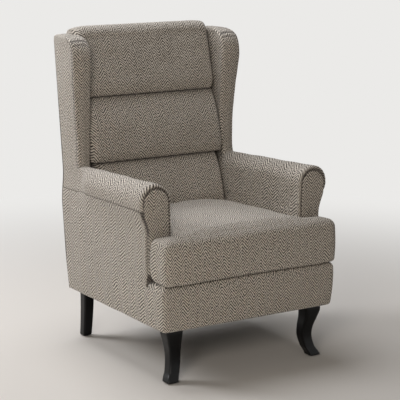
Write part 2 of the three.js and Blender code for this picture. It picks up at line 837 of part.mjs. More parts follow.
// The top channel turns over the frame and laps over the rear cover.
function topChannel(half, foot, top) {
  const ledge = wingTop - outsideBackDrop + fitGap;
  const rearEdge = rearY - padOverhangInset;
  return channelBody(half, (fromSide, fall, draw) => {
    const low = foot + draw;
    const crest = top - padCornerFall * (1 - stuffed(fromSide / padCornerWidth));
    const high = crest - padTopTurn;
    const front = channelFront(low, high, fall, () => 1);
    const [shoulder] = front.at(-1);
    const crestY = mix(shoulder, rearEdge, crestShare);
    const quarter = range(turnSteps).map((i) => (Math.PI / 2) * ((i + 1) / turnSteps));
    const over = quarter.map((a) => [mix(crestY, shoulder, Math.cos(a)), mix(high, crest, Math.sin(a))]);
    const behind = quarter.map((a) => [mix(crestY, rearEdge, Math.sin(a)), mix(ledge, crest, Math.cos(a))]);
    return [[padRearY(ledge), ledge], [padRearY(low), low], ...front, ...over, ...behind];
  });
}

// The rear cover, a little narrower than the chair, with its outer edges taken off.
function outsideBack() {
  const rings = outsideBackShares.map((share) => {
    const z = mix(frameFoot, wingTop - outsideBackDrop, share);
    const half = outerSide(z) - outsideBackInset;
    const front = backY(z) - outsideBackThickness;
    const flat = half - outsideBackThickness;
    return [[-half, front, z], [half, front, z], [flat, backY(z), z], [-flat, backY(z), z]];
  });
  return loft(rings, 2);
}

function addBack() {
  const lowerHalf = armInner - fitGap;
  const lower = sewnChannel(lowerHalf, deckTop + fitGap, middleSeamHeight - fitGap / 2);
  const middle = sewnChannel(padHalf, middleSeamHeight + fitGap / 2, upperSeamHeight - fitGap / 2);
  const upper = topChannel(padHalf, upperSeamHeight + fitGap / 2, overallHeight);
  place("back_channel_lower", lower, weave);
  place("back_channel_middle", middle, weave);
  place("back_channel_upper", upper, weave);
  place("outside_back", outsideBack(), weave);
  addPair("wing_frame", wingFrame(wingPadding, 0), hardwood);
  addPair("wing_pad", wingPad(), weave);
}

// Seat cushion

// The T-shaped body of the cushion, set in by a margin: a crowned top, a flat foot and upright
// sides whose edges are rounded over.
function cushionBody(margin) {
  const shrink = margin + cushionEdgeRound;
  const half = cushionHalf - shrink;
  const bodyHalf = cushionBodyHalf - shrink;
  const front = frontY + shrink;
  const earRear = cushionEarRear - shrink;
  const rear = cushionRear - shrink;
  const foot = deckTop + fitGap + margin;
  const height = cushionHeight - 2 * margin;
  const rightColumns = [
    ...bodyColumnShares.map((share) => bodyHalf * share),
    ...earColumnShares.map((share) => mix(bodyHalf, half, share)),
  ];
  const columns = [...rightColumns.map((x) => -x).toReversed(), 0, ...rightColumns];
  const rows = [
    ...earRowShares.map((share) => mix(front, earRear, share)),
    ...bodyRowShares.map((share) => mix(earRear, rear, share)),
  ];
  const earRows = earRowShares.length;
  const ears = earColumnShares.length;
  const inBody = (i) => i >= ears && i < columns.length - ears;
  const at = (i, j) => j * columns.length + i;
  const plan = rows.flatMap((y) =>
    columns.map((x) => {
      const along = (y - front) / (rear - front);
      const pull = 1 - (2 * clamp(along) - 1) ** 2;
      const frontPull = (1 - (x / half) ** 2) * (1 - clamp((y - front) / (earRear - front)));
      return [x * (1 - (cushionDraw / half) * pull), y + cushionDraw * frontPull];
    }),
  );
  const crownAt = ([x, y]) => {
    const width = mix(half, bodyHalf, smooth((y - front) / (earRear - front)));
    const along = clamp((y - front) / (rear - front));
    const across = 1 - clamp(Math.abs(x) / width) ** 2;
    const lengthwise = stuffed(along / crownReachShare) * (1 - crownRearShare * smooth(along));
    return cushionCrown * across * lengthwise - cushionFall * along;
  };
  const top = plan.map((p) => [...p, foot + height + crownAt(p)]);
  const faces = [];
  for (let j = 0; j + 1 < rows.length; j++) {
    for (let i = 0; i + 1 < columns.length; i++) {
      if (j + 1 >= earRows && !(inBody(i) && inBody(i + 1))) continue;
      faces.push(at(i, j), at(i + 1, j), at(i + 1, j + 1), at(i, j), at(i + 1, j + 1), at(i, j + 1));
    }
  }
  const lastColumn = columns.length - 1;
  const lastRow = rows.length - 1;
  const loop = [
    ...range(lastColumn).map((i) => at(i, 0)),
    ...range(earRows - 1).map((j) => at(lastColumn, j)),
    ...range(ears).map((k) => at(lastColumn - k, earRows - 1)),
    ...range(lastRow - earRows + 1).map((j) => at(lastColumn - ears, j + earRows - 1)),
    ...range(lastColumn - 2 * ears).map((k) => at(lastColumn - ears - k, lastRow)),
    ...range(lastRow - earRows + 1).map((j) => at(ears, lastRow - j)),
    ...range(ears).map((k) => at(ears - k, earRows - 1)),
    ...range(earRows - 1).map((j) => at(0, earRows - 1 - j)),
  ];
  const outward = loop.map((k, n) => {
    const before = plan[loop.at(n - 1)];
    const after = plan[loop[(n + 1) % loop.length]];
    const unit = (a, b) => new THREE.Vector2(b[1] - a[1], a[0] - b[0]).normalize();
    return unit(before, plan[k]).add(unit(plan[k], after)).normalize();
  });
  const wallRings = cushionWallShares.map(([rise, out]) =>
    loop.map((k, n) => [
      plan[k][0] + outward[n].x * cushionEdgeRound * out,
      plan[k][1] + outward[n].y * cushionEdgeRound * out,
      mix(foot, top[k][2], rise),
    ]),
  );
  const points = [...top, ...wallRings.flat()];
  const start = top.length;
  const count = loop.length;
  const index = [...faces];
  wallRings.slice(1).forEach((_, r) => {
    index.push(...ringBand(start + r * count, start + (r + 1) * count, count));
  });
  const last = start + (wallRings.length - 1) * count;
  range(count).forEach((i) => {
    const j = (i + 1) % count;
    index.push(last + i, last + j, loop[j], last + i, loop[j], loop[i]);
  });
  const base = ringCap(wallRings[0], 2).flatMap((face) => face.toReversed().map((k) => k + start));
  return indexed(points, [...index, ...base]);
}

function addCushion() {
  const rear = cushionRear;
  const foot = deckTop + fitGap;
  const [zipFoot, zipTop] = [foot + zipRise, foot + zipRise + zipHeight];
  const zipHalf = cushionBodyHalf - zipMargin;
  const slitFront = rear - coverThickness - cutOverrun;
  const slit = block([-zipHalf, slitFront, zipFoot], [zipHalf, rear + cutOverrun, zipTop]);
  const cover = cut(cushionBody(0), cushionBody(coverThickness), slit);
  place("seat_cushion_cover", cover, weave);
  place("seat_cushion_foam", cushionBody(coverThickness + fitGap), foam);
  const tapeRear = rear - tapeSetIn;
  const tapeHalf = zipHalf - fitGap;
  const tape = block(
    [-tapeHalf, tapeRear - tapeThickness, zipFoot + fitGap],
    [tapeHalf, tapeRear, zipTop - fitGap],
  );
  place("cushion_zip_tape", tape, blackCambric);
  const sliderX = zipHalf - sliderEndRoom;
  const sliderFront = tapeRear + fitGap;
  const middle = (zipFoot + zipTop) / 2;
  const body = block(
    [-sliderX - sliderLength / 2, sliderFront, middle - sliderHeight / 2],
    [-sliderX + sliderLength / 2, sliderFront + sliderThickness, middle + sliderHeight / 2],
  );
  const pullRear = sliderFront + sliderThickness;
  const pull = block(
    [-sliderX - pullWidth / 2, pullRear - pullThickness, middle - pullLength],
    [-sliderX + pullWidth / 2, pullRear, middle],
  );
  place("cushion_zip_slider", join(body, pull), zincSteel);
}

// Adds a piece on the right of the chair, seen from its front, and its mirror image on the left.
function addPair(name, geometry, material) {
  place(`${name}_right`, geometry, material);
  place(`${name}_left`, mirrored(geometry), material);
}

addLegs();
addFrame();
addSeatBox();
addSuspension();
addPair("arm_pad", armPad(), weave);
addPair("arm_facing", armFacing(), weave);
addBack();
addCushion();

export default chair;
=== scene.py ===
"""Looks of a fireside wing chair in herringbone cloth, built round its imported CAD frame.

The front faces -Y, +Z is up and +X is the chair's right side as seen from its front. Sizes in the
classes are millimetres; meshes are made in metres.
"""

import logging
import math
from dataclasses import dataclass, field
from enum import Enum

import bmesh
import bpy
import numpy as np
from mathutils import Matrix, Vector


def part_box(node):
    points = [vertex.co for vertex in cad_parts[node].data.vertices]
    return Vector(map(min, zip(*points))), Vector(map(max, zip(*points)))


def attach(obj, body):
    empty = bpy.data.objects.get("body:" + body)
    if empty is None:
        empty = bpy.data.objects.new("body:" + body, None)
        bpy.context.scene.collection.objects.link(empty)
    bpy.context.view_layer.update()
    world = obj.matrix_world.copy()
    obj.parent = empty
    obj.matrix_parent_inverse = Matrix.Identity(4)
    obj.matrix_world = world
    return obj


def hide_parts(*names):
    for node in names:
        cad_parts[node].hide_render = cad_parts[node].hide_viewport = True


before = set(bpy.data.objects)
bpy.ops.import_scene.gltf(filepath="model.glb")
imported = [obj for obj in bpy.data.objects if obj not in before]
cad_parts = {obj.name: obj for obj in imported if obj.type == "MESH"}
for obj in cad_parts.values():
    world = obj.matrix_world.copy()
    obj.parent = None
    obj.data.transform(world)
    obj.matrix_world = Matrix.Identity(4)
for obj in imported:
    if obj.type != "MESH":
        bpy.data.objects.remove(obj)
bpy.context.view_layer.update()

LOG = logging.getLogger("wing_chair")
MM = 0.001
CHAIR, CUSHION = "chair", "seat_cushion"
WEAVE = "weave"
SEAM_AND_SHADE = "seam"
SIDE_WEAVE = 0.63
RIPPLE_WAVES = 7
CLOTH_FRAMES = 20
JOIN_WITHIN = 0.05
QUARTER = math.pi / 2


class Side(Enum):
    """The two sides of the chair, as seen by someone in front of it."""

    RIGHT = 1
    LEFT = -1


class Grain(Enum):
    """The way the grain of a timber runs, as the scale of its pattern along X, Y and Z."""

    ALONG_X = (0.12, 1.0, 1.0)
    ALONG_Y = (1.0, 0.12, 1.0)
    ALONG_Z = (1.0, 1.0, 0.12)


# Numbers


def mix(a: float, b: float, t: float) -> float:
    """Goes from a to b as t goes from 0 to 1."""
    return a + (b - a) * t


def smooth(t: np.ndarray | float) -> np.ndarray | float:
    """Rises from 0 to 1 with level ends."""
    t = np.clip(t, 0.0, 1.0)
    return t * t * (3 - 2 * t)


def stuffed(t: np.ndarray | float) -> np.ndarray | float:
    """Rises from 0 to 1 as the edge of a stuffed shape does."""
    return np.sqrt(1 - (1 - np.clip(t, 0.0, 1.0)) ** 2)


def ripple(points: np.ndarray, size: float, seed: int) -> np.ndarray:
    """Gives soft unevenness of about -1 to 1.

    Args:
        points: places in millimetres, the last axis being x, y, z.
        size: the usual length of one wave.
        seed: picks one pattern.

    Returns:
        One number for each place.
    """
    rng = np.random.default_rng(seed)
    total = np.zeros(points.shape[:-1])
    for _ in range(RIPPLE_WAVES):
        way = rng.normal(size=3)
        way /= np.linalg.norm(way)
        length = size * rng.uniform(0.7, 1.7)
        total += np.sin(points @ way * (2 * math.pi / length) + rng.uniform(0, 2 * math.pi))
    return total / 2.6


def resampled(line: np.ndarray, count: int, soften: int = 0) -> np.ndarray:
    """Spaces points evenly along a line.

    Args:
        line: the points of the line.
        count: how many points it gets.
        soften: how many times its corners are eased.

    Returns:
        The new points, the ends where they were.
    """
    steps = np.linalg.norm(np.diff(line, axis=0), axis=1)
    at = np.concatenate([[0], np.cumsum(steps)])
    new = np.linspace(0, at[-1], count)
    out = np.stack([np.interp(new, at, line[:, k]) for k in range(line.shape[1])], -1)
    for _ in range(soften):
        out[1:-1] = (out[:-2] + 2 * out[1:-1] + out[2:]) / 4
    return out


def cloth_run(line: np.ndarray) -> np.ndarray:
    """Gives the length of the cloth along a level line.

    The cloth is drawn wider where it runs front to back: the photograph shows the Vs on the sides as wide
    as those on the front, although the sides are seen at a slant.

    Args:
        line: the points of the line.

    Returns:
        The length from the line's start to each point.
    """
    steps = np.linalg.norm(np.diff(line, axis=0) * [1, SIDE_WEAVE, 1], axis=1)
    return np.r_[0, np.cumsum(steps)]


def node_box(node: str) -> tuple[np.ndarray, np.ndarray]:
    """Gives the lowest and the highest corner of a CAD node in millimetres."""
    low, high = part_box(node)
    return np.array(low) / MM, np.array(high) / MM


# Meshes


@dataclass
class Patch:
    """A grid of points in millimetres that becomes part of a skin.

    A patch may close round its columns (around) and be closed at its two ends (capped). The seam marks, which
    mark dark seam lines and painted shade, and the weave have one value for each point.
    """

    points: np.ndarray
    around: bool = False
    seam: np.ndarray | None = None
    weave: np.ndarray | None = None
    capped: bool = False

    def normals(self) -> np.ndarray:
        """Works out which way the skin faces.

        Returns:
            The unit normals at the points.
        """
        rows = np.gradient(self.points, axis=0)
        if self.around:
            columns = (np.roll(self.points, -1, axis=1) - np.roll(self.points, 1, axis=1)) / 2
        else:
            columns = np.gradient(self.points, axis=1)
        normal = np.cross(columns, rows)
        return normal / np.maximum(np.linalg.norm(normal, axis=-1, keepdims=True), 1e-9)

    def push(self, amount: np.ndarray, outward: np.ndarray | None = None) -> None:
        """Moves the points along their normals.

        Args:
            amount: how far, one number for each point.
            outward: a point inside the body; the normals are turned away from it.
        """
        normal = self.normals()
        if outward is not None and ((self.points - outward) * normal).sum() < 0:
            normal = -normal
        self.points = self.points + normal * amount[..., None]

    def turn(self, side: Side) -> None:
        """Mirrors the patch if it is on the left."""
        self.points = self.points * [side.value, 1, 1]
        self.weave = self.weave * [side.value, 1]

    def lengths(self) -> np.ndarray:
        """Lays the weave along the grid.

        Returns:
            The weave coordinates, from the mean lengths of the grid's steps.
        """
        p = self.points
        if self.around:
            p = np.concatenate([p, p[:, :1]], axis=1)
        u = np.linalg.norm(np.diff(p, axis=1), axis=-1).mean(0)
        v = np.linalg.norm(np.diff(p, axis=0), axis=-1).mean(1)
        u = np.concatenate([[0], np.cumsum(u)])
        v = np.concatenate([[0], np.cumsum(v)])
        return np.stack(np.broadcast_arrays(u[None, :], v[:, None]), -1)

    def faces(self) -> tuple[np.ndarray, np.ndarray, np.ndarray, np.ndarray]:
        """Turns the grid into faces.

        Returns:
            The vertices, the four-sided faces, the weave at their corners and the seam marks.
        """
        rows, columns = self.points.shape[:2]
        weave = self.lengths() if self.weave is None else self.weave
        seam = np.zeros((rows, columns)) if self.seam is None else self.seam
        spans = columns if self.around else columns - 1
        r, c = np.meshgrid(np.arange(rows - 1), np.arange(spans), indexing="ij")
        d = (c + 1) % columns
        here, above = r * columns, (r + 1) * columns
        quads = np.stack([here + c, here + d, above + d, above + c], -1)
        corners = np.stack([weave[r, c], weave[r, c + 1], weave[r + 1, c + 1], weave[r + 1, c]], -2)
        return self.points.reshape(-1, 3), quads.reshape(-1, 4), corners.reshape(-1, 2), seam.reshape(-1)


def placed(name: str, data: bpy.types.ID) -> bpy.types.Object:
    """Puts a mesh, a lamp or a camera into the scene.

    Args:
        name: the name of the new object.
        data: what it shows.

    Returns:
        The object.
    """
    thing = bpy.data.objects.new(name, data)
    bpy.context.scene.collection.objects.link(thing)
    return thing


def piece_from(
    name: str, patches: list[Patch], inside: tuple[float, float, float], thick: float = 0.0
) -> bpy.types.Object:
    """Makes one piece from patches that share their edges.

    Args:
        name: the name of the piece.
        patches: the grids; points of theirs that meet are joined.
        inside: a point inside the body, in millimetres, that the faces turn away from.
        thick: the thickness of the skin, or 0 for a closed body.

    Returns:
        The piece, in metres.
    """
    vertices, faces, corners, seams, start = [], [], [], [], 0
    for patch in patches:
        p, q, w, s = patch.faces()
        vertices.append(p)
        faces.extend((q + start).tolist())
        corners.append(w)
        seams.append(s)
        if patch.capped:
            count = patch.points.shape[1]
            for end, ring in enumerate((patch.points[0], patch.points[-1])):
                middle = ring.mean(0)
                vertices.append(middle[None])
                seams.append(np.zeros(1))
                first = end * (len(p) - count)
                for i in range(count):
                    a, b = first + i, first + (i + 1) % count
                    if end == 0:
                        a, b = b, a
                    faces.append([start + a, start + b, start + len(p) + end])
                    corners.append(np.stack([p[a], p[b], middle])[:, 1:])
            start += 2
        start += len(p)
    mesh = bpy.data.meshes.new(name)
    mesh.from_pydata((np.concatenate(vertices) * MM).tolist(), [], faces)
    mesh.uv_layers.new(name=WEAVE).data.foreach_set("uv", (np.concatenate(corners) * MM).ravel())
    mesh.attributes.new(SEAM_AND_SHADE, "FLOAT", "POINT").data.foreach_set("value", np.concatenate(seams))
    piece = placed(name, mesh)
    tidy(piece, Vector(inside) * MM)
    if thick:
        wall = piece.modifiers.new("Wall", "SOLIDIFY")
        wall.thickness, wall.offset = thick * MM, -1
        wall.use_even_offset = False
        settle(piece)
    return piece


def tidy(piece: bpy.types.Object, inside: Vector) -> None:
    """Joins points that meet, turns the faces outwards and shades them smooth.

    Args:
        piece: the piece.
        inside: a point inside the body, in metres.
    """
    form = bmesh.new()
    form.from_mesh(piece.data)
    bmesh.ops.remove_doubles(form, verts=form.verts, dist=JOIN_WITHIN * MM)
    bmesh.ops.recalc_face_normals(form, faces=form.faces)
    outward = sum(f.calc_area() * f.normal.dot(f.calc_center_median() - inside) for f in form.faces)
    if outward < 0:
        bmesh.ops.reverse_faces(form, faces=form.faces)
    form.to_mesh(piece.data)
    form.free()
    piece.data.shade_smooth()


def settle(piece: bpy.types.Object) -> None:
    """Turns what the modifiers of a piece make into its own mesh.

    Args:
        piece: the piece.
    """
    graph = bpy.context.evaluated_depsgraph_get()
    made = piece.evaluated_get(graph)
    mesh = bpy.data.meshes.new_from_object(made, preserve_all_data_layers=True, depsgraph=graph)
    piece.modifiers.clear()
    old, piece.data = piece.data, mesh
    bpy.data.meshes.remove(old)
    mesh.name = piece.name


def places(piece: bpy.types.Object) -> np.ndarray:
    """Reads the vertices of a piece.

    Args:
        piece: the piece.

    Returns:
        Their places, one row each, in metres.
    """
    found = np.empty(len(piece.data.vertices) * 3)
    piece.data.vertices.foreach_get("co", found)
    return found.reshape(-1, 3)


def inflate(piece: bpy.types.Object, pressure: float, cap: float, shares: tuple[float, float, float]) -> None:
    """Fills a closed cloth piece with air pressure, so that it swells and pulls as a stuffed cover does.

    Args:
        piece: the closed mesh; it keeps its faces.
        pressure: the pressure inside.
        cap: how far a point may move, in millimetres.
        shares: how much of the movement is kept along X, Y and Z.
    """
    rest = places(piece)
    cloth = piece.modifiers.new("Cloth", "CLOTH")
    cloth.settings.quality = 5
    cloth.settings.mass = 0.25
    cloth.settings.tension_stiffness = 12
    cloth.settings.compression_stiffness = 12
    cloth.settings.shear_stiffness = 4
    cloth.settings.bending_stiffness = 0.6
    cloth.settings.use_pressure = True
    cloth.settings.uniform_pressure_force = pressure
    cloth.settings.effector_weights.gravity = 0
    cloth.collision_settings.use_collision = False
    scene = bpy.context.scene
    for number in range(1, CLOTH_FRAMES + 1):
        scene.frame_set(number)
    graph = bpy.context.evaluated_depsgraph_get()
    swollen = places(piece.evaluated_get(graph))
    piece.modifiers.clear()
    scene.frame_set(1)
    move = (swollen - rest) * shares
    far = np.linalg.norm(move, axis=1, keepdims=True)
    move *= np.minimum(1.0, cap * MM / np.maximum(far, 1e-9))
    piece.data.vertices.foreach_set("co", (rest + move).ravel())
    piece.data.update()


def refined(piece: bpy.types.Object) -> None:
    """Gives a piece one subdivision."""
    piece.modifiers.new("Fine", "SUBSURF").levels = 1
    settle(piece)


# Finishes


def linear(code: str) -> tuple[float, float, float, float]:
    """Turns an sRGB hex colour into linear values.

    Args:
        code: the colour, such as #2b2b2c.

    Returns:
        Red, green, blue and a full alpha.
    """
    values = [int(code[i : i + 2], 16) / 255 for i in (1, 3, 5)]
    red, green, blue = (v / 12.92 if v <= 0.04045 else ((v + 0.055) / 1.055) ** 2.4 for v in values)
    return red, green, blue, 1.0


class Graph:
    """The nodes of one material or of the world."""

    def __init__(self, holder: bpy.types.Material | bpy.types.World) -> None:
        """Starts with no nodes.

        Args:
            holder: the material or the world.
        """
        holder.use_nodes = True
        self.tree = holder.node_tree
        self.tree.nodes.clear()

    def feed(self, socket: bpy.types.NodeSocket, value: object) -> None:
        """Sets or links one input.

        Args:
            socket: the input.
            value: a value, an output, or a node, which stands for its first output.
        """
        if isinstance(value, bpy.types.Node):
            value = value.outputs[0]
        if isinstance(value, bpy.types.NodeSocket):
            self.tree.links.new(value, socket)
        else:
            socket.default_value = value

    def add(self, kind: str, inputs: dict | None = None, **settings: object) -> bpy.types.Node:
        """Adds a node with its settings and links.

        Args:
            kind: the node's type.
            inputs: what goes into each input, by name or number.
            settings: the node's own settings.

        Returns:
            The node.
        """
        made = self.tree.nodes.new(kind)
        for key, value in settings.items():
            setattr(made, key, value)
        for key, value in (inputs or {}).items():
            self.feed(made.inputs[key], value)
        return made

    def seen(self) -> bpy.types.Node:
        """Tells what the camera sees, also in metal and through glass, from light on its way to a surface.

        Returns:
            The node that gives 1 for the first and 0 for the second.
        """
        rays = self.add("ShaderNodeLightPath").outputs
        through = {0: rays["Is Glossy Ray"], 1: rays["Is Transmission Ray"]}
        beyond = self.add("ShaderNodeMath", through, operation="MAXIMUM")
        return self.add("ShaderNodeMath", {0: rays["Is Camera Ray"], 1: beyond}, operation="MAXIMUM")


class Finish(Graph):
    """The nodes of one material, with its shader already joined to the output."""

    def __init__(self, name: str) -> None:
        """Starts a material.

        Args:
            name: the name of the material.
        """
        self.material = bpy.data.materials.new(name)
        super().__init__(self.material)
        self.shader = self.add("ShaderNodeBsdfPrincipled")
        self.add("ShaderNodeOutputMaterial", {"Surface": self.shader})

    def shade(self, **sockets: object) -> None:
        """Sets or links inputs of the shader, an underscore standing for a space."""
        for key, value in sockets.items():
            self.feed(self.shader.inputs[key.replace("_", " ")], value)


@dataclass(frozen=True)
class HerringboneTweed:
    """Wool-blend upholstery cloth, woven in herringbone from light and dark yarn.

    The columns and the twill lines are in millimetres, the other patterns in waves to a metre.
    """

    light: str = "#ddd4c7"
    dark: str = "#251d17"
    seam_shade_colour: str = "#2c2420"
    column: float = 17.5
    pitch: float = 10.1
    steepness: float = 1.25
    wander: float = 18.0
    slub: float = 1.9
    slubs: float = 330.0
    flecks: float = 170.0
    clouds: float = 9.0
    drifts: float = 16.0
    yarn_height: float = 1.2

    def build(self) -> bpy.types.Material:
        """Makes the cloth.

        Returns:
            The material.
        """
        g = Finish("herringbone_tweed_woven")
        place = g.add("ShaderNodeUVMap", uv_map=WEAVE)
        # The twill lines run steeply and turn back at each column: that gives the stacked Vs.
        # Single yarns of 1.5 mm are too fine to show, so a line here stands for three of them.
        wave = {"Value": self.twill(g, place), "From Min": -0.55, "From Max": 0.55}
        lines = g.add("ShaderNodeMapRange", wave, interpolation_type="SMOOTHSTEP")
        # Short floats of light yarn over dark give the flecks.
        grain = {"Vector": place, "Scale": self.flecks, "Detail": 2.0, "Roughness": 0.65}
        fleck = g.add("ShaderNodeTexNoise", grain)
        flecks = g.add("ShaderNodeMapRange", {"Value": fleck, "From Min": 0.33, "From Max": 0.67})
        tone = g.add("ShaderNodeMath", {0: lines, 1: 0.82, 2: -0.22}, operation="MULTIPLY_ADD")
        blend = g.add("ShaderNodeMath", {0: flecks, 1: 0.62, 2: tone}, operation="MULTIPLY_ADD")
        both = {0: blend, 6: linear(self.dark), 7: linear(self.light)}
        yarns = g.add("ShaderNodeMix", both, data_type="RGBA")
        # Wide, faint clouds: a used cover isn't one even tone.
        cloud = g.add("ShaderNodeTexNoise", {"Vector": place, "Scale": self.clouds, "Detail": 2.0})
        shade = g.add("ShaderNodeMapRange", {"Value": cloud, "To Min": 0.93, "To Max": 1.05})
        clouded = g.add("ShaderNodeVectorMath", {0: yarns.outputs[2], 3: shade}, operation="SCALE")
        # Painted shade: the seam marks darken the cloth towards a dark colour. Along seams this is a dark seam line
        # with painted shade in its groove; in folds it is painted shade alone.
        seam = g.add("ShaderNodeAttribute", attribute_name=SEAM_AND_SHADE)
        seam_shade_share = g.add("ShaderNodeMath", {0: seam.outputs["Fac"], 1: 0.85}, operation="MULTIPLY")
        cloth = g.add("ShaderNodeMix", {0: seam_shade_share, 6: clouded, 7: linear(self.seam_shade_colour)}, data_type="RGBA")
        rough = g.add("ShaderNodeMapRange", {"Value": blend, "To Min": 0.97, "To Max": 0.84})
        height = {"Height": blend, "Strength": 0.55, "Distance": self.yarn_height * MM}
        g.shade(
            Base_Color=cloth.outputs[2],
            Roughness=rough,
            Normal=g.add("ShaderNodeBump", height),
            Sheen_Weight=0.12,
            Sheen_Roughness=0.5,
            IOR=1.5,
            Specular_IOR_Level=0.25,
        )
        return g.material

    def twill(self, g: Finish, place: bpy.types.Node) -> bpy.types.Node:
        """Draws the zigzag lines of the herringbone.

        Args:
            g: the material's nodes.
            place: the weave coordinates.

        Returns:
            A wave that is high on the light lines and low on the dark ones.
        """
        split = g.add("ShaderNodeSeparateXYZ", {0: place})
        drift = g.add("ShaderNodeTexNoise", {"Vector": place, "Scale": self.drifts, "Detail": 1.0})
        moved = g.add("ShaderNodeMath", {0: drift, 1: self.wander * MM, 2: split}, operation="MULTIPLY_ADD")
        across = g.add("ShaderNodeMath", {0: moved, 1: self.column * MM}, operation="PINGPONG")
        slope = {0: across, 1: self.steepness, 2: split.outputs[1]}
        rise = g.add("ShaderNodeMath", slope, operation="MULTIPLY_ADD")
        turns = g.add("ShaderNodeMath", {0: rise, 1: 2 * math.pi / (self.pitch * MM)}, operation="MULTIPLY")
        uneven = {"Vector": place, "Scale": self.slubs, "Detail": 2.0, "Roughness": 0.6}
        slub = g.add("ShaderNodeTexNoise", uneven)
        bent = g.add("ShaderNodeMath", {0: slub, 1: self.slub, 2: turns}, operation="MULTIPLY_ADD")
        return g.add("ShaderNodeMath", {0: bent}, operation="SINE")


@dataclass(frozen=True)
class SatinLacquer:
    """Black satin lacquer sprayed on carved beech."""

    colour: str = "#0a0a0b"
    worn: str = "#1d1b1a"
    pores: float = 700.0

    def build(self) -> bpy.types.Material:
        """Makes the lacquer.

        Returns:
            The material.
        """
        g = Finish("beech_black_satin_lacquer")
        # The lacquer fills the pores, so only a faint lengthways grain lifts the gloss.
        place = g.add("ShaderNodeTexCoord")
        long = g.add("ShaderNodeMapping", {"Vector": place.outputs["Object"], "Scale": (1.0, 1.0, 0.08)})
        grain = g.add("ShaderNodeTexNoise", {"Vector": long, "Scale": self.pores, "Detail": 3.0})
        rough = g.add("ShaderNodeMapRange", {"Value": grain, "To Min": 0.24, "To Max": 0.38})
        # Its edges are rubbed a little paler.
        edge = g.add("ShaderNodeNewGeometry").outputs["Pointiness"]
        wear = g.add("ShaderNodeMapRange", {"Value": edge, "From Min": 0.52, "From Max": 0.6})
        rub = g.add("ShaderNodeMath", {0: wear, 1: grain}, operation="MULTIPLY")
        shades = {0: rub, 6: linear(self.colour), 7: linear(self.worn)}
        colour = g.add("ShaderNodeMix", shades, data_type="RGBA")
        relief = g.add("ShaderNodeBump", {"Height": grain, "Strength": 0.12, "Distance": 0.3 * MM})
        g.shade(Base_Color=colour.outputs[2], Roughness=rough, Normal=relief, IOR=1.5, Specular_IOR_Level=0.2)
        return g.material


@dataclass(frozen=True)
class SawnBeech:
    """Steamed beech, sawn and planed, as used for the hidden frame."""

    grain: Grain
    early: str = "#cfa677"
    late: str = "#a97c50"
    warps: float = 14.0
    rings: float = 60.0
    flecks: float = 420.0

    def build(self) -> bpy.types.Material:
        """Makes the timber.

        Returns:
            The material.
        """
        g = Finish(f"beech_sawn_{self.grain.name.lower()}")
        # Growth rings about 4 mm apart and short dark flecks along the grain.
        place = g.add("ShaderNodeTexCoord")
        long = g.add("ShaderNodeMapping", {"Vector": place.outputs["Object"], "Scale": self.grain.value})
        warp = g.add("ShaderNodeTexNoise", {"Vector": long, "Scale": self.warps, "Detail": 3.0})
        rings = g.add("ShaderNodeMath", {0: warp, 1: self.rings}, operation="MULTIPLY")
        band = g.add("ShaderNodeMath", {0: rings}, operation="SINE")
        level = g.add("ShaderNodeMapRange", {"Value": band, "From Min": -1.0})
        fleck = g.add("ShaderNodeTexNoise", {"Vector": long, "Scale": self.flecks, "Detail": 3.0})
        blend = g.add("ShaderNodeMath", {0: level, 1: fleck}, operation="MULTIPLY")
        shades = {0: blend, 6: linear(self.early), 7: linear(self.late)}
        colour = g.add("ShaderNodeMix", shades, data_type="RGBA")
        rough = g.add("ShaderNodeMapRange", {"Value": fleck, "To Min": 0.55, "To Max": 0.75})
        relief = g.add("ShaderNodeBump", {"Height": fleck, "Strength": 0.3, "Distance": 0.4 * MM})
        g.shade(Base_Color=colour.outputs[2], Roughness=rough, Normal=relief, IOR=1.5)
        return g.material


@dataclass(frozen=True)
class Plain:
    """A material with one broken surface pattern: drawn or plated steel, moulded nylon, foam, felt.

    The grit is the real size of a cell, a fleck or a drawing line, and the depth its relief, in millimetres.
    """

    name: str
    colour: str
    other: str
    grit: float
    roughness: tuple[float, float]
    depth: float
    metallic: float = 0.0
    ior: float = 1.5

    def build(self) -> bpy.types.Material:
        """Makes the material.

        Returns:
            The material.
        """
        g = Finish(self.name)
        # Fine specks of two near tones, the rougher ones paler, so that no face is one flat colour.
        place = g.add("ShaderNodeTexCoord").outputs["Object"]
        noise = g.add("ShaderNodeTexNoise", {"Vector": place, "Scale": 1 / (self.grit * MM), "Detail": 3.0})
        shades = {0: noise, 6: linear(self.colour), 7: linear(self.other)}
        colour = g.add("ShaderNodeMix", shades, data_type="RGBA")
        low, high = self.roughness
        rough = g.add("ShaderNodeMapRange", {"Value": noise, "To Min": low, "To Max": high})
        relief = g.add("ShaderNodeBump", {"Height": noise, "Strength": 0.5, "Distance": self.depth * MM})
        g.shade(Base_Color=colour.outputs[2], Roughness=rough, Normal=relief, Metallic=self.metallic)
        if not self.metallic:
            g.shade(IOR=self.ior)
        return g.material


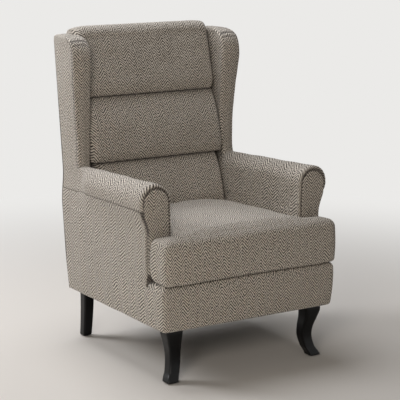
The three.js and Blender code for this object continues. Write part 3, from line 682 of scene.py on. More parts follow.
@dataclass(frozen=True)
class WovenTape:
    """Flat woven tape or lining, with threads along and across, their width in millimetres."""

    name: str
    warp: str
    weft: str
    thread: float

    def build(self) -> bpy.types.Material:
        """Makes the tape.

        Returns:
            The material.
        """
        g = Finish(self.name)
        # Plain weave: one sine along and one across make the small squares of the threads.
        place = g.add("ShaderNodeUVMap", uv_map=WEAVE)
        split = g.add("ShaderNodeSeparateXYZ", {0: place})
        waves = []
        for way in (0, 1):
            turns = {0: split.outputs[way], 1: math.pi / (self.thread * MM)}
            angle = g.add("ShaderNodeMath", turns, operation="MULTIPLY")
            waves.append(g.add("ShaderNodeMath", {0: angle}, operation="SINE"))
        both = g.add("ShaderNodeMath", {0: waves[0], 1: waves[1]}, operation="MULTIPLY")
        level = g.add("ShaderNodeMapRange", {"Value": both, "From Min": -1.0})
        shades = {0: level, 6: linear(self.warp), 7: linear(self.weft)}
        colour = g.add("ShaderNodeMix", shades, data_type="RGBA")
        rough = g.add("ShaderNodeMapRange", {"Value": level, "To Min": 0.95, "To Max": 0.8})
        relief = g.add("ShaderNodeBump", {"Height": level, "Strength": 0.5, "Distance": 0.6 * MM})
        g.shade(Base_Color=colour.outputs[2], Roughness=rough, Normal=relief, IOR=1.5)
        return g.material


class Workshop:
    """Makes each finish once and gives it to the pieces that ask for it."""

    def __init__(self) -> None:
        """Starts with no finish made."""
        self.made: dict[object, bpy.types.Material] = {}

    def finish(self, recipe: object) -> bpy.types.Material:
        """Gives the material of a recipe.

        Args:
            recipe: the finish; it is made the first time that it is asked for.

        Returns:
            The material.
        """
        if recipe not in self.made:
            self.made[recipe] = recipe.build()
        return self.made[recipe]

    def dress(self, piece: bpy.types.Object, recipe: object) -> None:
        """Puts a finish on a piece or on a CAD node.

        Args:
            piece: the piece or node.
            recipe: the finish.
        """
        if not piece.material_slots:
            piece.data.materials.append(None)
        for holder in piece.material_slots:
            holder.material = self.finish(recipe)

    def hand_over(
        self, piece: bpy.types.Object, recipe: object, nodes: list[str], body: str = CHAIR
    ) -> None:
        """Dresses a new piece, sets it on its body and hides the CAD nodes that it stands for.

        Args:
            piece: the piece.
            recipe: its finish.
            nodes: the CAD nodes that it stands for.
            body: the body that it rides on.
        """
        self.dress(piece, recipe)
        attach(piece, body)
        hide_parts(*nodes)
        LOG.info("%s: %d faces, rides on %s", piece.name, len(piece.data.polygons), body)

    def upholster(self, piece: bpy.types.Object, nodes: list[str], body: str = CHAIR) -> None:
        """Covers a padded piece in herringbone and hands it over.

        Args:
            piece: the piece.
            nodes: the CAD nodes that it stands for.
            body: the body that it rides on.
        """
        self.hand_over(piece, COVER, nodes, body)


COVER = HerringboneTweed()
LACQUER = SatinLacquer()
SPRING_STEEL = Plain("spring_steel_drawn", "#8d9094", "#6f7276", 1.5, (0.3, 0.45), 0.05, metallic=1.0)
ZINC_STEEL = Plain("steel_zinc_plated", "#b9bbbd", "#9da0a4", 2.0, (0.25, 0.4), 0.05, metallic=1.0)
NYLON = Plain("nylon_moulded", "#2b2b2c", "#232324", 1.0, (0.4, 0.55), 0.05, ior=1.53)
FOAM = Plain("polyurethane_foam_cut", "#e9e1c9", "#cfc4a4", 1.6, (0.9, 1.0), 0.5)
FELT = Plain("polypropylene_felt_black", "#1e1e20", "#2c2c2e", 1.2, (0.9, 1.0), 0.2)
WEBBING = WovenTape("rubber_webbing_woven", "#4d4b47", "#2f2e2c", 2.2)
CALICO = WovenTape("cotton_calico_woven", "#b9ad98", "#a3967f", 1.4)
ZIP_TAPE = WovenTape("polyester_tape_woven", "#38342f", "#26231f", 1.2)


# Shared lines of the chair


@dataclass(frozen=True)
class ChairLines:
    """The lines that several covers share, all for the right side of the chair."""

    rear_y: float = 385.0
    wing_top: float = 1037.0
    leg_height: float = 175.0
    back_lean: float = 100.0
    base_half: float = 324.0
    base_front: float = -367.0
    base_top: float = 322.0
    base_taper: float = 4.5
    cover_gap: float = 8.3
    arm_front: float = -272.0
    arm_rear: float = 204.7
    arm_inner: float = 240.0
    arm_seam: float = 468.0
    roll_height: float = 574.0
    roll_radius: float = 54.0
    roll_shrink: float = 8.0
    roll_drop: float = 13.0
    roll_gap: float = 3.0
    roll_seam: float = 524.0
    seam_rise: float = 20.0
    wing_foot: float = 590.0
    wing_depth: float = 175.0
    wing_outer: float = 312.0
    wing_nip: float = 6.0
    wing_reach: float = 110.0
    wing_close: float = 95.0

    def back_y(self, z: np.ndarray) -> np.ndarray:
        """Gives the rear of the chair at a height."""
        return self.rear_y - self.back_lean * (self.wing_top - z) / (self.wing_top - self.leg_height)

    def cover_rear(self, z: np.ndarray) -> np.ndarray:
        """Gives the rear end of the side covers at a height."""
        return self.back_y(z) - self.cover_gap

    def base_rise(self, z: np.ndarray) -> np.ndarray:
        """Gives the share of the seat box that lies below a height."""
        return np.clip((z - self.leg_height) / (self.base_top - self.leg_height), 0, 1)

    def base_draw(self, z: np.ndarray) -> np.ndarray:
        """Gives how far the seat box draws in at a height."""
        return self.base_taper * (1 - self.base_rise(z)) ** 2

    def wing_side(self, z: np.ndarray) -> np.ndarray:
        """Gives the side of the chair above the seat box at a height."""
        rise = smooth((z - self.arm_seam) / (self.wing_foot - self.arm_seam))
        return mix(self.base_half, self.wing_outer, rise)

    def along_arm(self, y: np.ndarray) -> np.ndarray:
        """Gives the share of the arm's length that lies in front of a place."""
        return np.clip((y - self.arm_front) / (self.arm_rear - self.arm_front), 0, 1)

    def under_roll(self, y: np.ndarray) -> np.ndarray:
        """Gives the height of the seam under the arm roll: it rises towards the facing."""
        return self.roll_seam + self.seam_rise * (1 - self.along_arm(y)) ** 0.8

    def roll(self, y: np.ndarray) -> tuple[np.ndarray, np.ndarray, np.ndarray]:
        """Gives the radius of the arm roll and the place of its middle, x and z, at a depth."""
        radius = self.roll_radius - self.roll_shrink * self.along_arm(y)
        return radius, self.arm_inner + self.roll_gap + radius, self.roll_height - self.roll_drop * self.along_arm(y)

    def wing_face(self, y: np.ndarray, z: np.ndarray) -> np.ndarray:
        """Gives the outer face of the wing below its flare."""
        return self.wing_side(z) - self.wing_nip * np.clip((self.back_y(z) - y) / self.wing_depth, 0, 1)

    def arm_face(self, y: np.ndarray, z: np.ndarray, margin: float = 0.0) -> np.ndarray:
        """Gives the outer face of the arm from its foot up to the widest point of the roll.

        Args:
            y: the depths.
            z: the heights.
            margin: how far the face is set in.

        Returns:
            The distance from the chair's middle.
        """
        radius, middle, level = self.roll(y)
        foot, widest = self.base_half - margin, middle + (radius - margin)
        rolled = mix(foot, widest, smooth((z - self.arm_seam - 4) / (level - self.arm_seam - 10)))
        rise = np.clip((z - self.arm_seam) / (level - self.arm_seam), 0, 1)
        # Towards the wing the roll's underside fills out.
        face = mix(rolled, mix(foot, widest, rise**1.6), smooth(self.along_arm(y) * 1.25))
        return self.under_wing(face, y, z)

    def under_wing(self, x: np.ndarray, y: np.ndarray, z: np.ndarray) -> np.ndarray:
        """Draws the arm's face in to the wing's where it runs under the wing.

        Args:
            x: the distances from the chair's middle.
            y: the depths.
            z: the heights.

        Returns:
            The new distances.
        """
        limit = self.wing_face(y, z) + 0.6
        return np.where(x > limit, mix(x, limit, smooth((y - self.wing_reach) / self.wing_close)), x)


LINES = ChairLines()


# Seat box


@dataclass
class SeatBox:
    """The padded cover that wraps the front and both sides of the seat box in one piece."""

    corner: float = 13.0
    bulge: float = 3.0
    lip: float = 19.0
    wrap: float = 12.0
    wrap_top: float = 8.0
    wrap_reach: float = 32.0
    rear_round: float = 8.0
    rear_return: float = 10.0
    foot_round: float = 10.0
    hem: float = 22.0
    wall: float = 3.0
    tuck: float = 2.0
    tuck_width: float = 3.5
    front_steps: int = 34
    corner_steps: int = 8
    ear_steps: int = 8
    side_steps: int = 56
    rear_steps: int = 4
    height_steps: int = 24
    panel_steps: int = 44
    mouth: tuple = ((2.4, 22.0), (2.4, 4.5), (0.8, 1.2))

    @property
    def open_steps(self) -> int:
        """Counts the points of the outline that lie in front of the arm."""
        return self.front_steps + self.corner_steps + self.ear_steps

    def plan(self, z: float, inset: float = 0.0) -> np.ndarray:
        """Gives the cover's outline at a height, from the middle of the front to the right rear end.

        Args:
            z: the height.
            inset: how far the outline is drawn in.

        Returns:
            The points as x and y, always the same number of them.
        """
        swell = self.bulge * (1 - (2 * LINES.base_rise(z) - 1) ** 2)
        draw, rear = LINES.base_draw(z), LINES.cover_rear(z)
        half = LINES.base_half - draw + swell * 0.6 - inset
        front = LINES.base_front + draw - swell + inset
        r, end = self.corner, self.rear_round
        turn = np.linspace(-QUARTER, 0, self.corner_steps + 1)[1:]
        close = np.linspace(0, QUARTER, self.rear_steps + 1)[1:]
        x = [
            np.linspace(0, half - r, self.front_steps),
            half - r + r * np.cos(turn),
            np.full(self.ear_steps + self.side_steps, half),
            half - end + end * np.cos(close),
            [half - end - self.rear_return],
        ]
        y = [
            np.full(self.front_steps, front),
            front + r + r * np.sin(turn),
            np.linspace(front + r, LINES.arm_front, self.ear_steps + 1)[1:],
            np.linspace(LINES.arm_front, rear - end, self.side_steps + 1)[1:],
            rear - end + end * np.sin(close),
            [rear],
        ]
        return np.stack([np.concatenate(x), np.concatenate(y)], -1)

    def level(self, z: float, inset: float) -> np.ndarray:
        """Gives the outline at a height as points in space."""
        line = self.plan(z, inset)
        return np.c_[line, np.full(len(line), z)]

    def lower_wall(self) -> np.ndarray:
        """Makes the wall of the seat box, from the hem under it up to where the front rolls in.

        Returns:
            The grid of its right half.
        """
        turn = np.linspace(0, QUARTER, 6)
        foot, head = LINES.leg_height + self.foot_round, LINES.base_top - self.lip
        stops = [(LINES.leg_height + 1.2, self.hem)]
        for a in turn:
            stops.append((foot - self.foot_round * math.cos(a), self.foot_round * (1 - math.sin(a))))
        stops += [(z, 0.0) for z in np.linspace(foot, head, self.height_steps)[1:]]
        return np.stack([self.level(z, inset) for z, inset in stops])

    def front_roll(self, edge: np.ndarray) -> np.ndarray:
        """Rolls the wall in at its top, in front of the arms.

        Args:
            edge: the top row of the wall.

        Returns:
            The grid of the roll's right half.
        """
        rows = [edge[: self.open_steps]]
        for a in np.linspace(0, QUARTER, 7)[1:]:
            row = self.level(LINES.base_top - self.lip + self.lip * math.sin(a), self.lip * (1 - math.cos(a)))
            rows.append(row[: self.open_steps])
        row = self.level(LINES.base_top, 2 * self.hem)[: self.open_steps]
        rows.append(row - [0, 0, 1])
        roll = np.stack(rows)
        roll[:, -1, 1] = LINES.arm_front
        return roll

    def side_panel(self, foot: np.ndarray) -> np.ndarray:
        """Makes the side's upper part, which ends under the arm's roll and wraps round to the facing.

        Args:
            foot: the top row of the wall beside and behind the arm's front.

        Returns:
            The grid of the right side.
        """
        rows = []
        for share in np.linspace(0, 1, self.panel_steps):
            seam = LINES.under_roll(foot[:, 1])
            z = mix(foot[0, 2], seam, share)
            rear = np.stack([self.plan(height)[self.open_steps + k] for k, height in enumerate(z)])
            face = np.where(z > LINES.arm_seam, LINES.arm_face(rear[:, 1], z) - LINES.base_half, 0)
            tuck = self.tuck * np.exp(-(((seam - z) / self.tuck_width) ** 2))
            tuck = tuck * smooth((foot[:, 1] - LINES.arm_front) / 20)
            reach = mix(self.wrap, self.wrap_top, smooth((z - 480) / 50))
            near = smooth((LINES.arm_front + self.wrap_reach - rear[:, 1]) / self.wrap_reach)
            x = mix(foot[:, 0], rear[:, 0], share) + face - tuck
            rows.append(np.stack([x, rear[:, 1] - reach * near * smooth(share * 5), z], -1))
        panel = np.stack(rows)
        turned_in = [panel[:, :1] + [-inward, back, 0] for back, inward in self.mouth]
        return np.concatenate([*turned_in, panel], axis=1)

    def finish(self, patch: Patch, mouth: int = 0) -> None:
        """Marks the seams of a patch, paints shade into the groove beside the facing and into the fold where the
        box, the arm and the facing meet, and makes its sides a little uneven.

        Args:
            patch: the patch.
            mouth: how many of its first columns turn in beside the facing.
        """
        x, y, z = np.moveaxis(patch.points, -1, 0)
        patch.seam = 0.55 * np.exp(-(((LINES.under_roll(y) - z) / 1.8) ** 2))
        # Painted shade on the columns that turn in beside the facing, in the groove between the side and the facing.
        turned_in = 0.85 * smooth((z[:, :mouth] - 465) / 25)
        patch.seam[:, :mouth] = np.maximum(patch.seam[:, :mouth], turned_in)
        # Painted shade darkens the cloth in the fold where the box, the arm and the facing meet.
        fold_shade = np.hypot(y - LINES.arm_front + 9, z - LINES.base_top + 2)
        patch.seam = np.maximum(patch.seam, 0.9 * np.exp(-((fold_shade / 8) ** 2)))
        rough = np.sign(x) * ripple(patch.points, 130, 3) * 0.9 * (np.abs(x) > 305) * smooth((500 - z) / 60)
        patch.points = patch.points + rough[..., None] * [1, 0, 0]

    def both_sides(self, points: np.ndarray) -> list[Patch]:
        """Mirrors a grid, with one run of the weave from side to side.

        Args:
            points: the grid of the right side.

        Returns:
            The right patch and the left one.
        """
        run = cloth_run(points[len(points) // 2])
        weave = np.stack(np.broadcast_arrays(run[None, :], points[..., 2]), -1)
        return [Patch(points, weave=weave), Patch(points * [-1, 1, 1], weave=weave * [-1, 1])]

    def build(self, shop: Workshop) -> None:
        """Makes the cover and the lip behind its top edge.

        Args:
            shop: the workshop.
        """
        wall = self.lower_wall()
        base = self.both_sides(wall) + self.both_sides(self.front_roll(wall[-1]))
        panels = self.both_sides(self.side_panel(wall[-1, self.open_steps :]))
        for patch in base:
            self.finish(patch)
        for patch in panels:
            self.finish(patch, len(self.mouth))
        cover = piece_from("seat_box_cover", base + panels, (0, -40, 250), self.wall)
        shop.upholster(cover, ["front_rail_pad", "outside_arm_panel_left", "outside_arm_panel_right"])
        self.build_lip(shop)

    def build_lip(self, shop: Workshop) -> None:
        """Makes the soft lip under the front of the seat cushion.

        Args:
            shop: the workshop.
        """
        low, high = node_box("front_lip_pad")
        across = np.linspace(low[0] + 13, high[0] - 13, 70)
        along = np.linspace(low[1] + 16, high[1], 18)
        x, y = np.meshgrid(across, along)
        edge = np.minimum(np.minimum(x - across[0], across[-1] - x), y - along[0])
        z = high[2] - 6 + 7 * stuffed(edge / 18) + 0.6 * ripple(np.stack([x, y, 0 * x], -1), 60, 8)
        lip = piece_from("front_lip", [Patch(np.stack([x, y, z], -1))], (0, -300, 250), 14.0)
        shop.upholster(lip, ["front_lip_pad"])


# Arms


@dataclass
class Arm:
    """One arm: a rolled pad over the timber and the scroll-shaped facing on its front."""

    side: Side
    edge_round: float = 8.0
    edge_depth: float = 11.0
    edge_return: tuple[float, float] = (15.0, 20.0)
    edge_marks: tuple[float, float, float] = (0.95, 0.8, 0.0)
    ridge: float = 8.0
    wall: float = 3.0
    tuck: float = 2.0
    tuck_width: float = 3.5
    section_points: int = 120
    gather_pitch: float = 17.0
    gather: float = 0.45
    facing_front: float = -282.0
    facing_sunk: float = 8.0
    puff: float = 1.2
    outer_side: float = 300.0
    middle: tuple[float, float, float] = (285.0, -30.0, 520.0)
    facing_foot: tuple[float, float] = (282.0, 350.0)
    facing_head: tuple[float, float] = (297.0, 574.0)
    facing_edge: tuple = (
        (1.0, -1.0, 1.0), (1.0, 0.3, 1.0), (0.975, 0.55, 0.9),
        (0.95, 0.78, 0.8), (0.92, 0.92, 0.4), (0.89, 1.0, 0.0),
    )

    def section(self, y: float, margin: float = 0.0, low: float | None = None) -> np.ndarray:
        """Gives the outline of the arm at one depth.

        Args:
            y: the depth.
            margin: how far the outline is set in.
            low: the height at which the outline ends on the outside, or None for the seam under the roll.

        Returns:
            Points as x and z, from the foot inside, over the roll, to the end outside.
        """
        radius, middle, level = LINES.roll(y)
        r = radius - margin
        angles = math.pi * (1 - np.linspace(0, 1, 24))
        over = np.stack([middle + r * np.cos(angles), level + r * np.sin(angles)], -1)
        over[:, 0] = LINES.under_wing(over[:, 0], y, over[:, 1])
        end = LINES.under_roll(y) + 0.4 if low is None else low
        z = np.linspace(level, end, 26)[1:]
        tuck = self.tuck * np.exp(-(((z - end) / self.tuck_width) ** 2)) if low is None else 0
        outside = np.stack([LINES.arm_face(y, z, margin) - tuck, z], -1)
        face = LINES.arm_inner + margin
        inner = [[face, 300], [face, 430], [face + 1, 500]]
        return resampled(np.concatenate([inner, over, outside]), self.section_points, 2)

    def build(self, shop: Workshop) -> None:
        """Makes the pad and the facing.

        Args:
            shop: the workshop.
        """
        name = self.side.name.lower()
        front = LINES.arm_front - self.ridge
        inward, deepest = self.edge_return
        stops = [(LINES.arm_front, deepest), (front + 2.5, inward)]
        for a in np.linspace(QUARTER, 0, 7):
            stops.append((front + self.edge_depth * (1 - math.sin(a)), self.edge_round * (1 - math.cos(a))))
        stops += [(y, 0.0) for y in np.linspace(front + self.edge_depth, LINES.arm_rear + 12, 76)[1:]]
        points = np.stack([np.insert(self.section(y, m), 1, y, axis=1) for y, m in stops])
        x, y, z = np.moveaxis(points, -1, 0)
        patch = Patch(points)
        soft = ripple(points, 90, 11 + self.side.value) * 0.9 + ripple(points, 260, 13)
        off_seam = z - LINES.under_roll(y)
        outside = x > self.outer_side
        soft *= (1 - np.exp(-((off_seam / 12) ** 2)) * outside) * (z > 480) * smooth((195 - y) / 70)
        # Small gathers where the cloth of the roll is pulled round the facing.
        girth = np.cumsum(np.r_[0, np.linalg.norm(np.diff(points[20], axis=0), axis=1)])
        folds = np.sin(girth * (2 * math.pi / self.gather_pitch) + 1.3 * np.sin(girth / 23))
        soft += folds[None, :] * np.exp(-((y - front) / 16)) * self.gather * (z > 440)
        patch.push(soft, np.array(self.middle))
        # Seam marks darken the seam under the roll and the rows where the pad turns in to the facing: dark seam
        # lines with painted shade in their grooves.
        edge = np.interp(np.arange(len(stops)), (1, 2, 3), self.edge_marks)
        patch.seam = np.maximum(0.55 * np.exp(-((off_seam / 1.8) ** 2)) * outside, edge[:, None])
        patch.weave = patch.lengths()[..., ::-1] * [SIDE_WEAVE, 1]
        patch.turn(self.side)
        inside = tuple(np.array(self.middle) * [self.side.value, 1, 1])
        shop.upholster(piece_from(f"arm_pad_skin_{name}", [patch], inside, self.wall), [f"arm_pad_{name}"])
        self.build_facing(shop, name)

    def facing_outline(self) -> np.ndarray:
        """Draws the edge of the facing: the arm's own section, set in, and a straight foot.

        Returns:
            The points of the closed line as x and z.
        """
        foot = LINES.base_top - 4
        line = self.section(LINES.arm_front, 0.0, LINES.arm_seam)
        line = line[line[:, 1] > LINES.base_top - 2]
        down = np.stack([np.full(30, LINES.base_half), np.linspace(line[-1, 1] - 4, foot, 30)], -1)
        outline = resampled(np.concatenate([line, down]), 190, 2)
        along = np.gradient(outline, axis=0)
        inward = np.stack([along[:, 1], -along[:, 0]], -1)
        inward /= np.linalg.norm(inward, axis=1, keepdims=True)
        height, outer = outline[:, 1], outline[:, 0] > self.outer_side
        inset = 8.0 + 4.0 * smooth((height - 575) / 40) - np.where(outer, 7.0 * smooth((566 - height) / 40), 0)
        outline = outline + inward * inset[:, None]
        base = np.stack([np.linspace(outline[-1, 0], outline[0, 0], 18)[1:-1], np.full(16, foot)], -1)
        return resampled(np.concatenate([outline, base, outline[:1]]), 221, 2)[:-1]

    def build_facing(self, shop: Workshop, name: str) -> None:
        """Makes the scroll-shaped facing: a stuffed panel whose edge is pulled in to the seam.

        Args:
            shop: the workshop.
            name: the side's name.
        """
        outline = self.facing_outline()
        foot, head = np.array(self.facing_foot), np.array(self.facing_head)
        way = head - foot
        spine = foot + np.clip((outline - foot) @ way / (way @ way), 0, 1)[:, None] * way
        stops = [
            (share, mix(LINES.arm_front, self.facing_front, lift), mark) for share, lift, mark in self.facing_edge
        ]
        for share in np.linspace(0.84, 0.0, 15):
            stops.append((share, self.facing_front - self.puff * stuffed((1 - share) / 0.8), 0.0))
        points = np.stack([np.insert(spine + (outline - spine) * share, 1, y, axis=1) for share, y, _ in stops])
        flat_from = len(self.facing_edge)
        points[flat_from:, :, 1] += ripple(points[flat_from:], 70, 21) * 0.7
        x, y, z = np.moveaxis(points, -1, 0)
        y += self.facing_sunk * (1 - smooth((z - LINES.base_top - 2) / 36)) * (y < LINES.arm_front)
        # The edge rows carry seam marks that darken the seam round the facing: a dark seam line with painted shade
        # in its groove.
        marks = np.array([mark for _, _, mark in stops])[:, None]
        # Beside the cushion's ear the seam is hidden, so its marks fade; the outer corner of the foot is painted
        # with shade, for the dark fold under the ear.
        beside_ear = smooth((x - 296) / 16) * smooth((480 - z) / 20)
        fold_shade = smooth((353 - z) / 12) * smooth((x - 294) / 14)
        seam = np.maximum(marks * (1 - 0.7 * beside_ear), 0.95 * fold_shade)
        flat = np.stack([x, z], -1)
        patch = Patch(points, around=True, seam=seam, weave=np.concatenate([flat, flat[:, :1]], axis=1))
        patch.turn(self.side)
        facing = piece_from(f"arm_facing_pad_{name}", [patch], (285 * self.side.value, -200, 480))
        shop.upholster(facing, [f"arm_facing_{name}"])


# Wings


@dataclass
class Wing:
    """One padded wing: it stands on the arm, flares outwards and ends in a rounded front border."""

    side: Side
    inner: float = 262.0
    inner_round: float = 12.0
    inner_swell: float = 5.0
    outer_round: float = 9.0
    top_round: float = 11.0
    rear_round: float = 16.0
    flare: float = 22.0
    border_dip: float = 3.0
    crease_depth: float = 2.2
    crease_marks: tuple[float, float] = (0.8, 0.35)
    foot: float = 521.0
    side_points: int = 22
    inner_points: int = 9
    border_points: int = 10
    outer_points: int = 8
    face_points: int = 26
    stitches: tuple[float, float] = (13.0, 25.0)
    edge_shares: tuple = (
        (0, 0.732), (0.067, 0.7), (0.246, 0.74), (0.47, 0.815), (0.649, 0.915), (0.805, 0.99),
        (0.884, 1.0), (0.94, 0.955), (0.978, 0.85), (1.0, 0.66),
    )

    def front_y(self, z: float) -> float:
        """Gives the front of the wing at a height.

        Args:
            z: the height.

        Returns:
            The depth, on a softened line through the shares of the wing's full depth.
        """
        h = (z - LINES.wing_foot) / (LINES.wing_top - LINES.wing_foot)
        heights, depths = np.array(self.edge_shares).T
        fine = np.linspace(0, 1, 200)
        even = np.interp(fine, heights, depths)
        for _ in range(30):
            even[1:-1] = (even[:-2] + 2 * even[1:-1] + even[2:]) / 4
        return float(LINES.back_y(z) - LINES.wing_depth * np.interp(np.clip(h, 0, 1), fine, even))

    def outer_x(self, y: np.ndarray, z: float, margin: float) -> np.ndarray:
        """Gives the wing's outer face, which flares towards its front.

        Args:
            y: the depths.
            z: the height.
            margin: how far the face is set in.

        Returns:
            The distances from the chair's middle.
        """
        rise = smooth((z - 660) / (LINES.wing_top - 660 - 77))
        lean = np.clip((LINES.back_y(z) - y) / LINES.wing_depth, 0, 1)
        return LINES.wing_side(z) + (self.flare * rise - LINES.wing_nip) * lean - margin

    def section(self, z: float, margin: float) -> tuple[np.ndarray, np.ndarray]:
        """Gives a level section of the wing, from the rear inside round its front and back to the rear.

        Args:
            z: the height.
            margin: how far the section is set in.

        Returns:
            The points as x and y, and one seam mark for each.
        """
        near_top = float(np.clip((z - LINES.wing_top + self.rear_round) / self.rear_round, 0, 1))
        rear = LINES.cover_rear(z) - self.rear_round * (1 - math.sqrt(1 - near_top**2)) - margin
        front = self.front_y(z) + margin
        x_in, r_in, r_out = self.inner + margin, self.inner_round, self.outer_round
        x_tip = self.outer_x(front + r_out, z, margin)
        x_rear = self.outer_x(rear - 8, z, margin)
        inside = np.stack([np.full(self.side_points, x_in), np.linspace(rear, front + r_in, self.side_points)], -1)
        a = np.linspace(math.pi, 3 * QUARTER, self.inner_points + 1)[1:]
        round_in = np.stack([x_in + r_in + r_in * np.cos(a), front + r_in + r_in * np.sin(a)], -1)
        strip_x = np.linspace(x_in + r_in, x_tip - r_out, self.border_points + 2)[1:-1]
        s = (strip_x - strip_x[0]) / (strip_x[-1] - strip_x[0])
        strip = np.stack([strip_x, front - self.border_dip * (1 - (2 * s - 1) ** 2)], -1)
        b = np.linspace(3 * QUARTER, 4 * QUARTER, self.outer_points)
        round_out = np.stack([x_tip - r_out + r_out * np.cos(b), front + r_out + r_out * np.sin(b)], -1)
        y_out = np.linspace(front + r_out, rear - 8, self.face_points)[1:]
        face = np.stack([self.outer_x(y_out, z, margin), y_out], -1)
        c = np.linspace(0, QUARTER, 5)[1:]
        tuck = np.stack([x_rear - 8 + 8 * np.cos(c), rear - 8 + 8 * np.sin(c)], -1)
        behind = np.stack([np.linspace(x_rear - 8, x_in, 9)[1:], np.full(8, rear)], -1)
        line = np.concatenate([inside, round_in, strip, round_out, face, tuck, behind])
        full = smooth((z - 600) / 60) * np.exp(-(((line[:, 1] - front - 10) / 15) ** 2))
        line[:, 0] -= self.inner_swell * full * (line[:, 0] < x_in + r_in)
        # A crease runs where the border's strip is sewn to the outer face; its seam marks darken it, a dark seam
        # line with painted shade in the crease.
        crease = self.side_points + self.inner_points + self.border_points + self.outer_points - 1
        marks = np.zeros(len(line))
        marks[crease : crease + 2] = self.crease_marks
        line[crease, 0] -= self.crease_depth
        return line, marks

    def build(self, shop: Workshop) -> None:
        """Makes the wing.

        Args:
            shop: the workshop.
        """
        name = self.side.name.lower()
        top, r = LINES.wing_top, self.top_round
        heights = [*np.linspace(self.foot, top - 60, 68), *np.linspace(top - 58, top - r, 28)]
        stops = [(z, 0.0) for z in heights]
        stops += [(top - r * (1 - math.sin(a)), r * (1 - math.cos(a))) for a in np.linspace(0, QUARTER, 8)[1:]]
        made = [self.section(z, m) for z, m in stops]
        rows = [np.insert(line, 2, z, axis=1) for (line, _), (z, _) in zip(made, stops)]
        marks = [m for _, m in made]
        # The last rows close the top across the thickness of the wing.
        for share, rise in ((0.5, 0.8), (0.0, 1.0)):
            closing = rows[-1].copy() if share else rows[-2].copy()
            middle = (closing[:, 0].min() + closing[:, 0].max()) / 2
            closing[:, 0] = middle + (closing[:, 0] - middle) * share
            closing[:, 2] = top + rise
            rows.append(closing)
            marks.append(np.zeros(len(closing)))
        points = np.stack(rows)
        z = points[..., 2]
        patch = Patch(points, seam=np.stack(marks))
        soft = ripple(points, 120, 31 + self.side.value) * 1.2 + ripple(points, 45, 33) * 0.35
        soft *= smooth((top - 4 - z) / 30) * smooth((z - 590) / 60)
        soft *= smooth((LINES.cover_rear(z) - points[..., 1]) / 60)
        # Two lines of stitching close the tip of the front border, with a small ridge between them; the seam marks
        # darken the stitching, with painted shade in its sunk lines.
        ends = self.side_points + self.inner_points
        s = np.zeros(points.shape[1])
        s[ends - 5 : ends + 14] = np.sin(np.linspace(0, math.pi, 19)) ** 0.5
        below = top - z - 8 * (1 - s)
        first, second = (np.exp(-(((below - d) / 2.3) ** 2)) * (s > 0.3) for d in self.stitches)
        ridge = np.exp(-(((below - 19.5) / 3) ** 2)) * (s > 0.3)
        patch.seam = np.maximum(patch.seam, np.maximum(first, 0.7 * second))
        patch.push(soft + 0.7 * ridge - first - 0.6 * second, np.array([290.0, 280.0, 760.0]))
        up = patch.lengths()[..., 1] + self.foot
        patch.weave = np.stack(np.broadcast_arrays(cloth_run(points[len(points) // 2]), up), -1)
        patch.turn(self.side)
        wing = piece_from(f"wing_cover_{name}", [patch], (290 * self.side.value, 280, 760), 3.0)
        shop.upholster(wing, [f"wing_pad_{name}"])


# Back


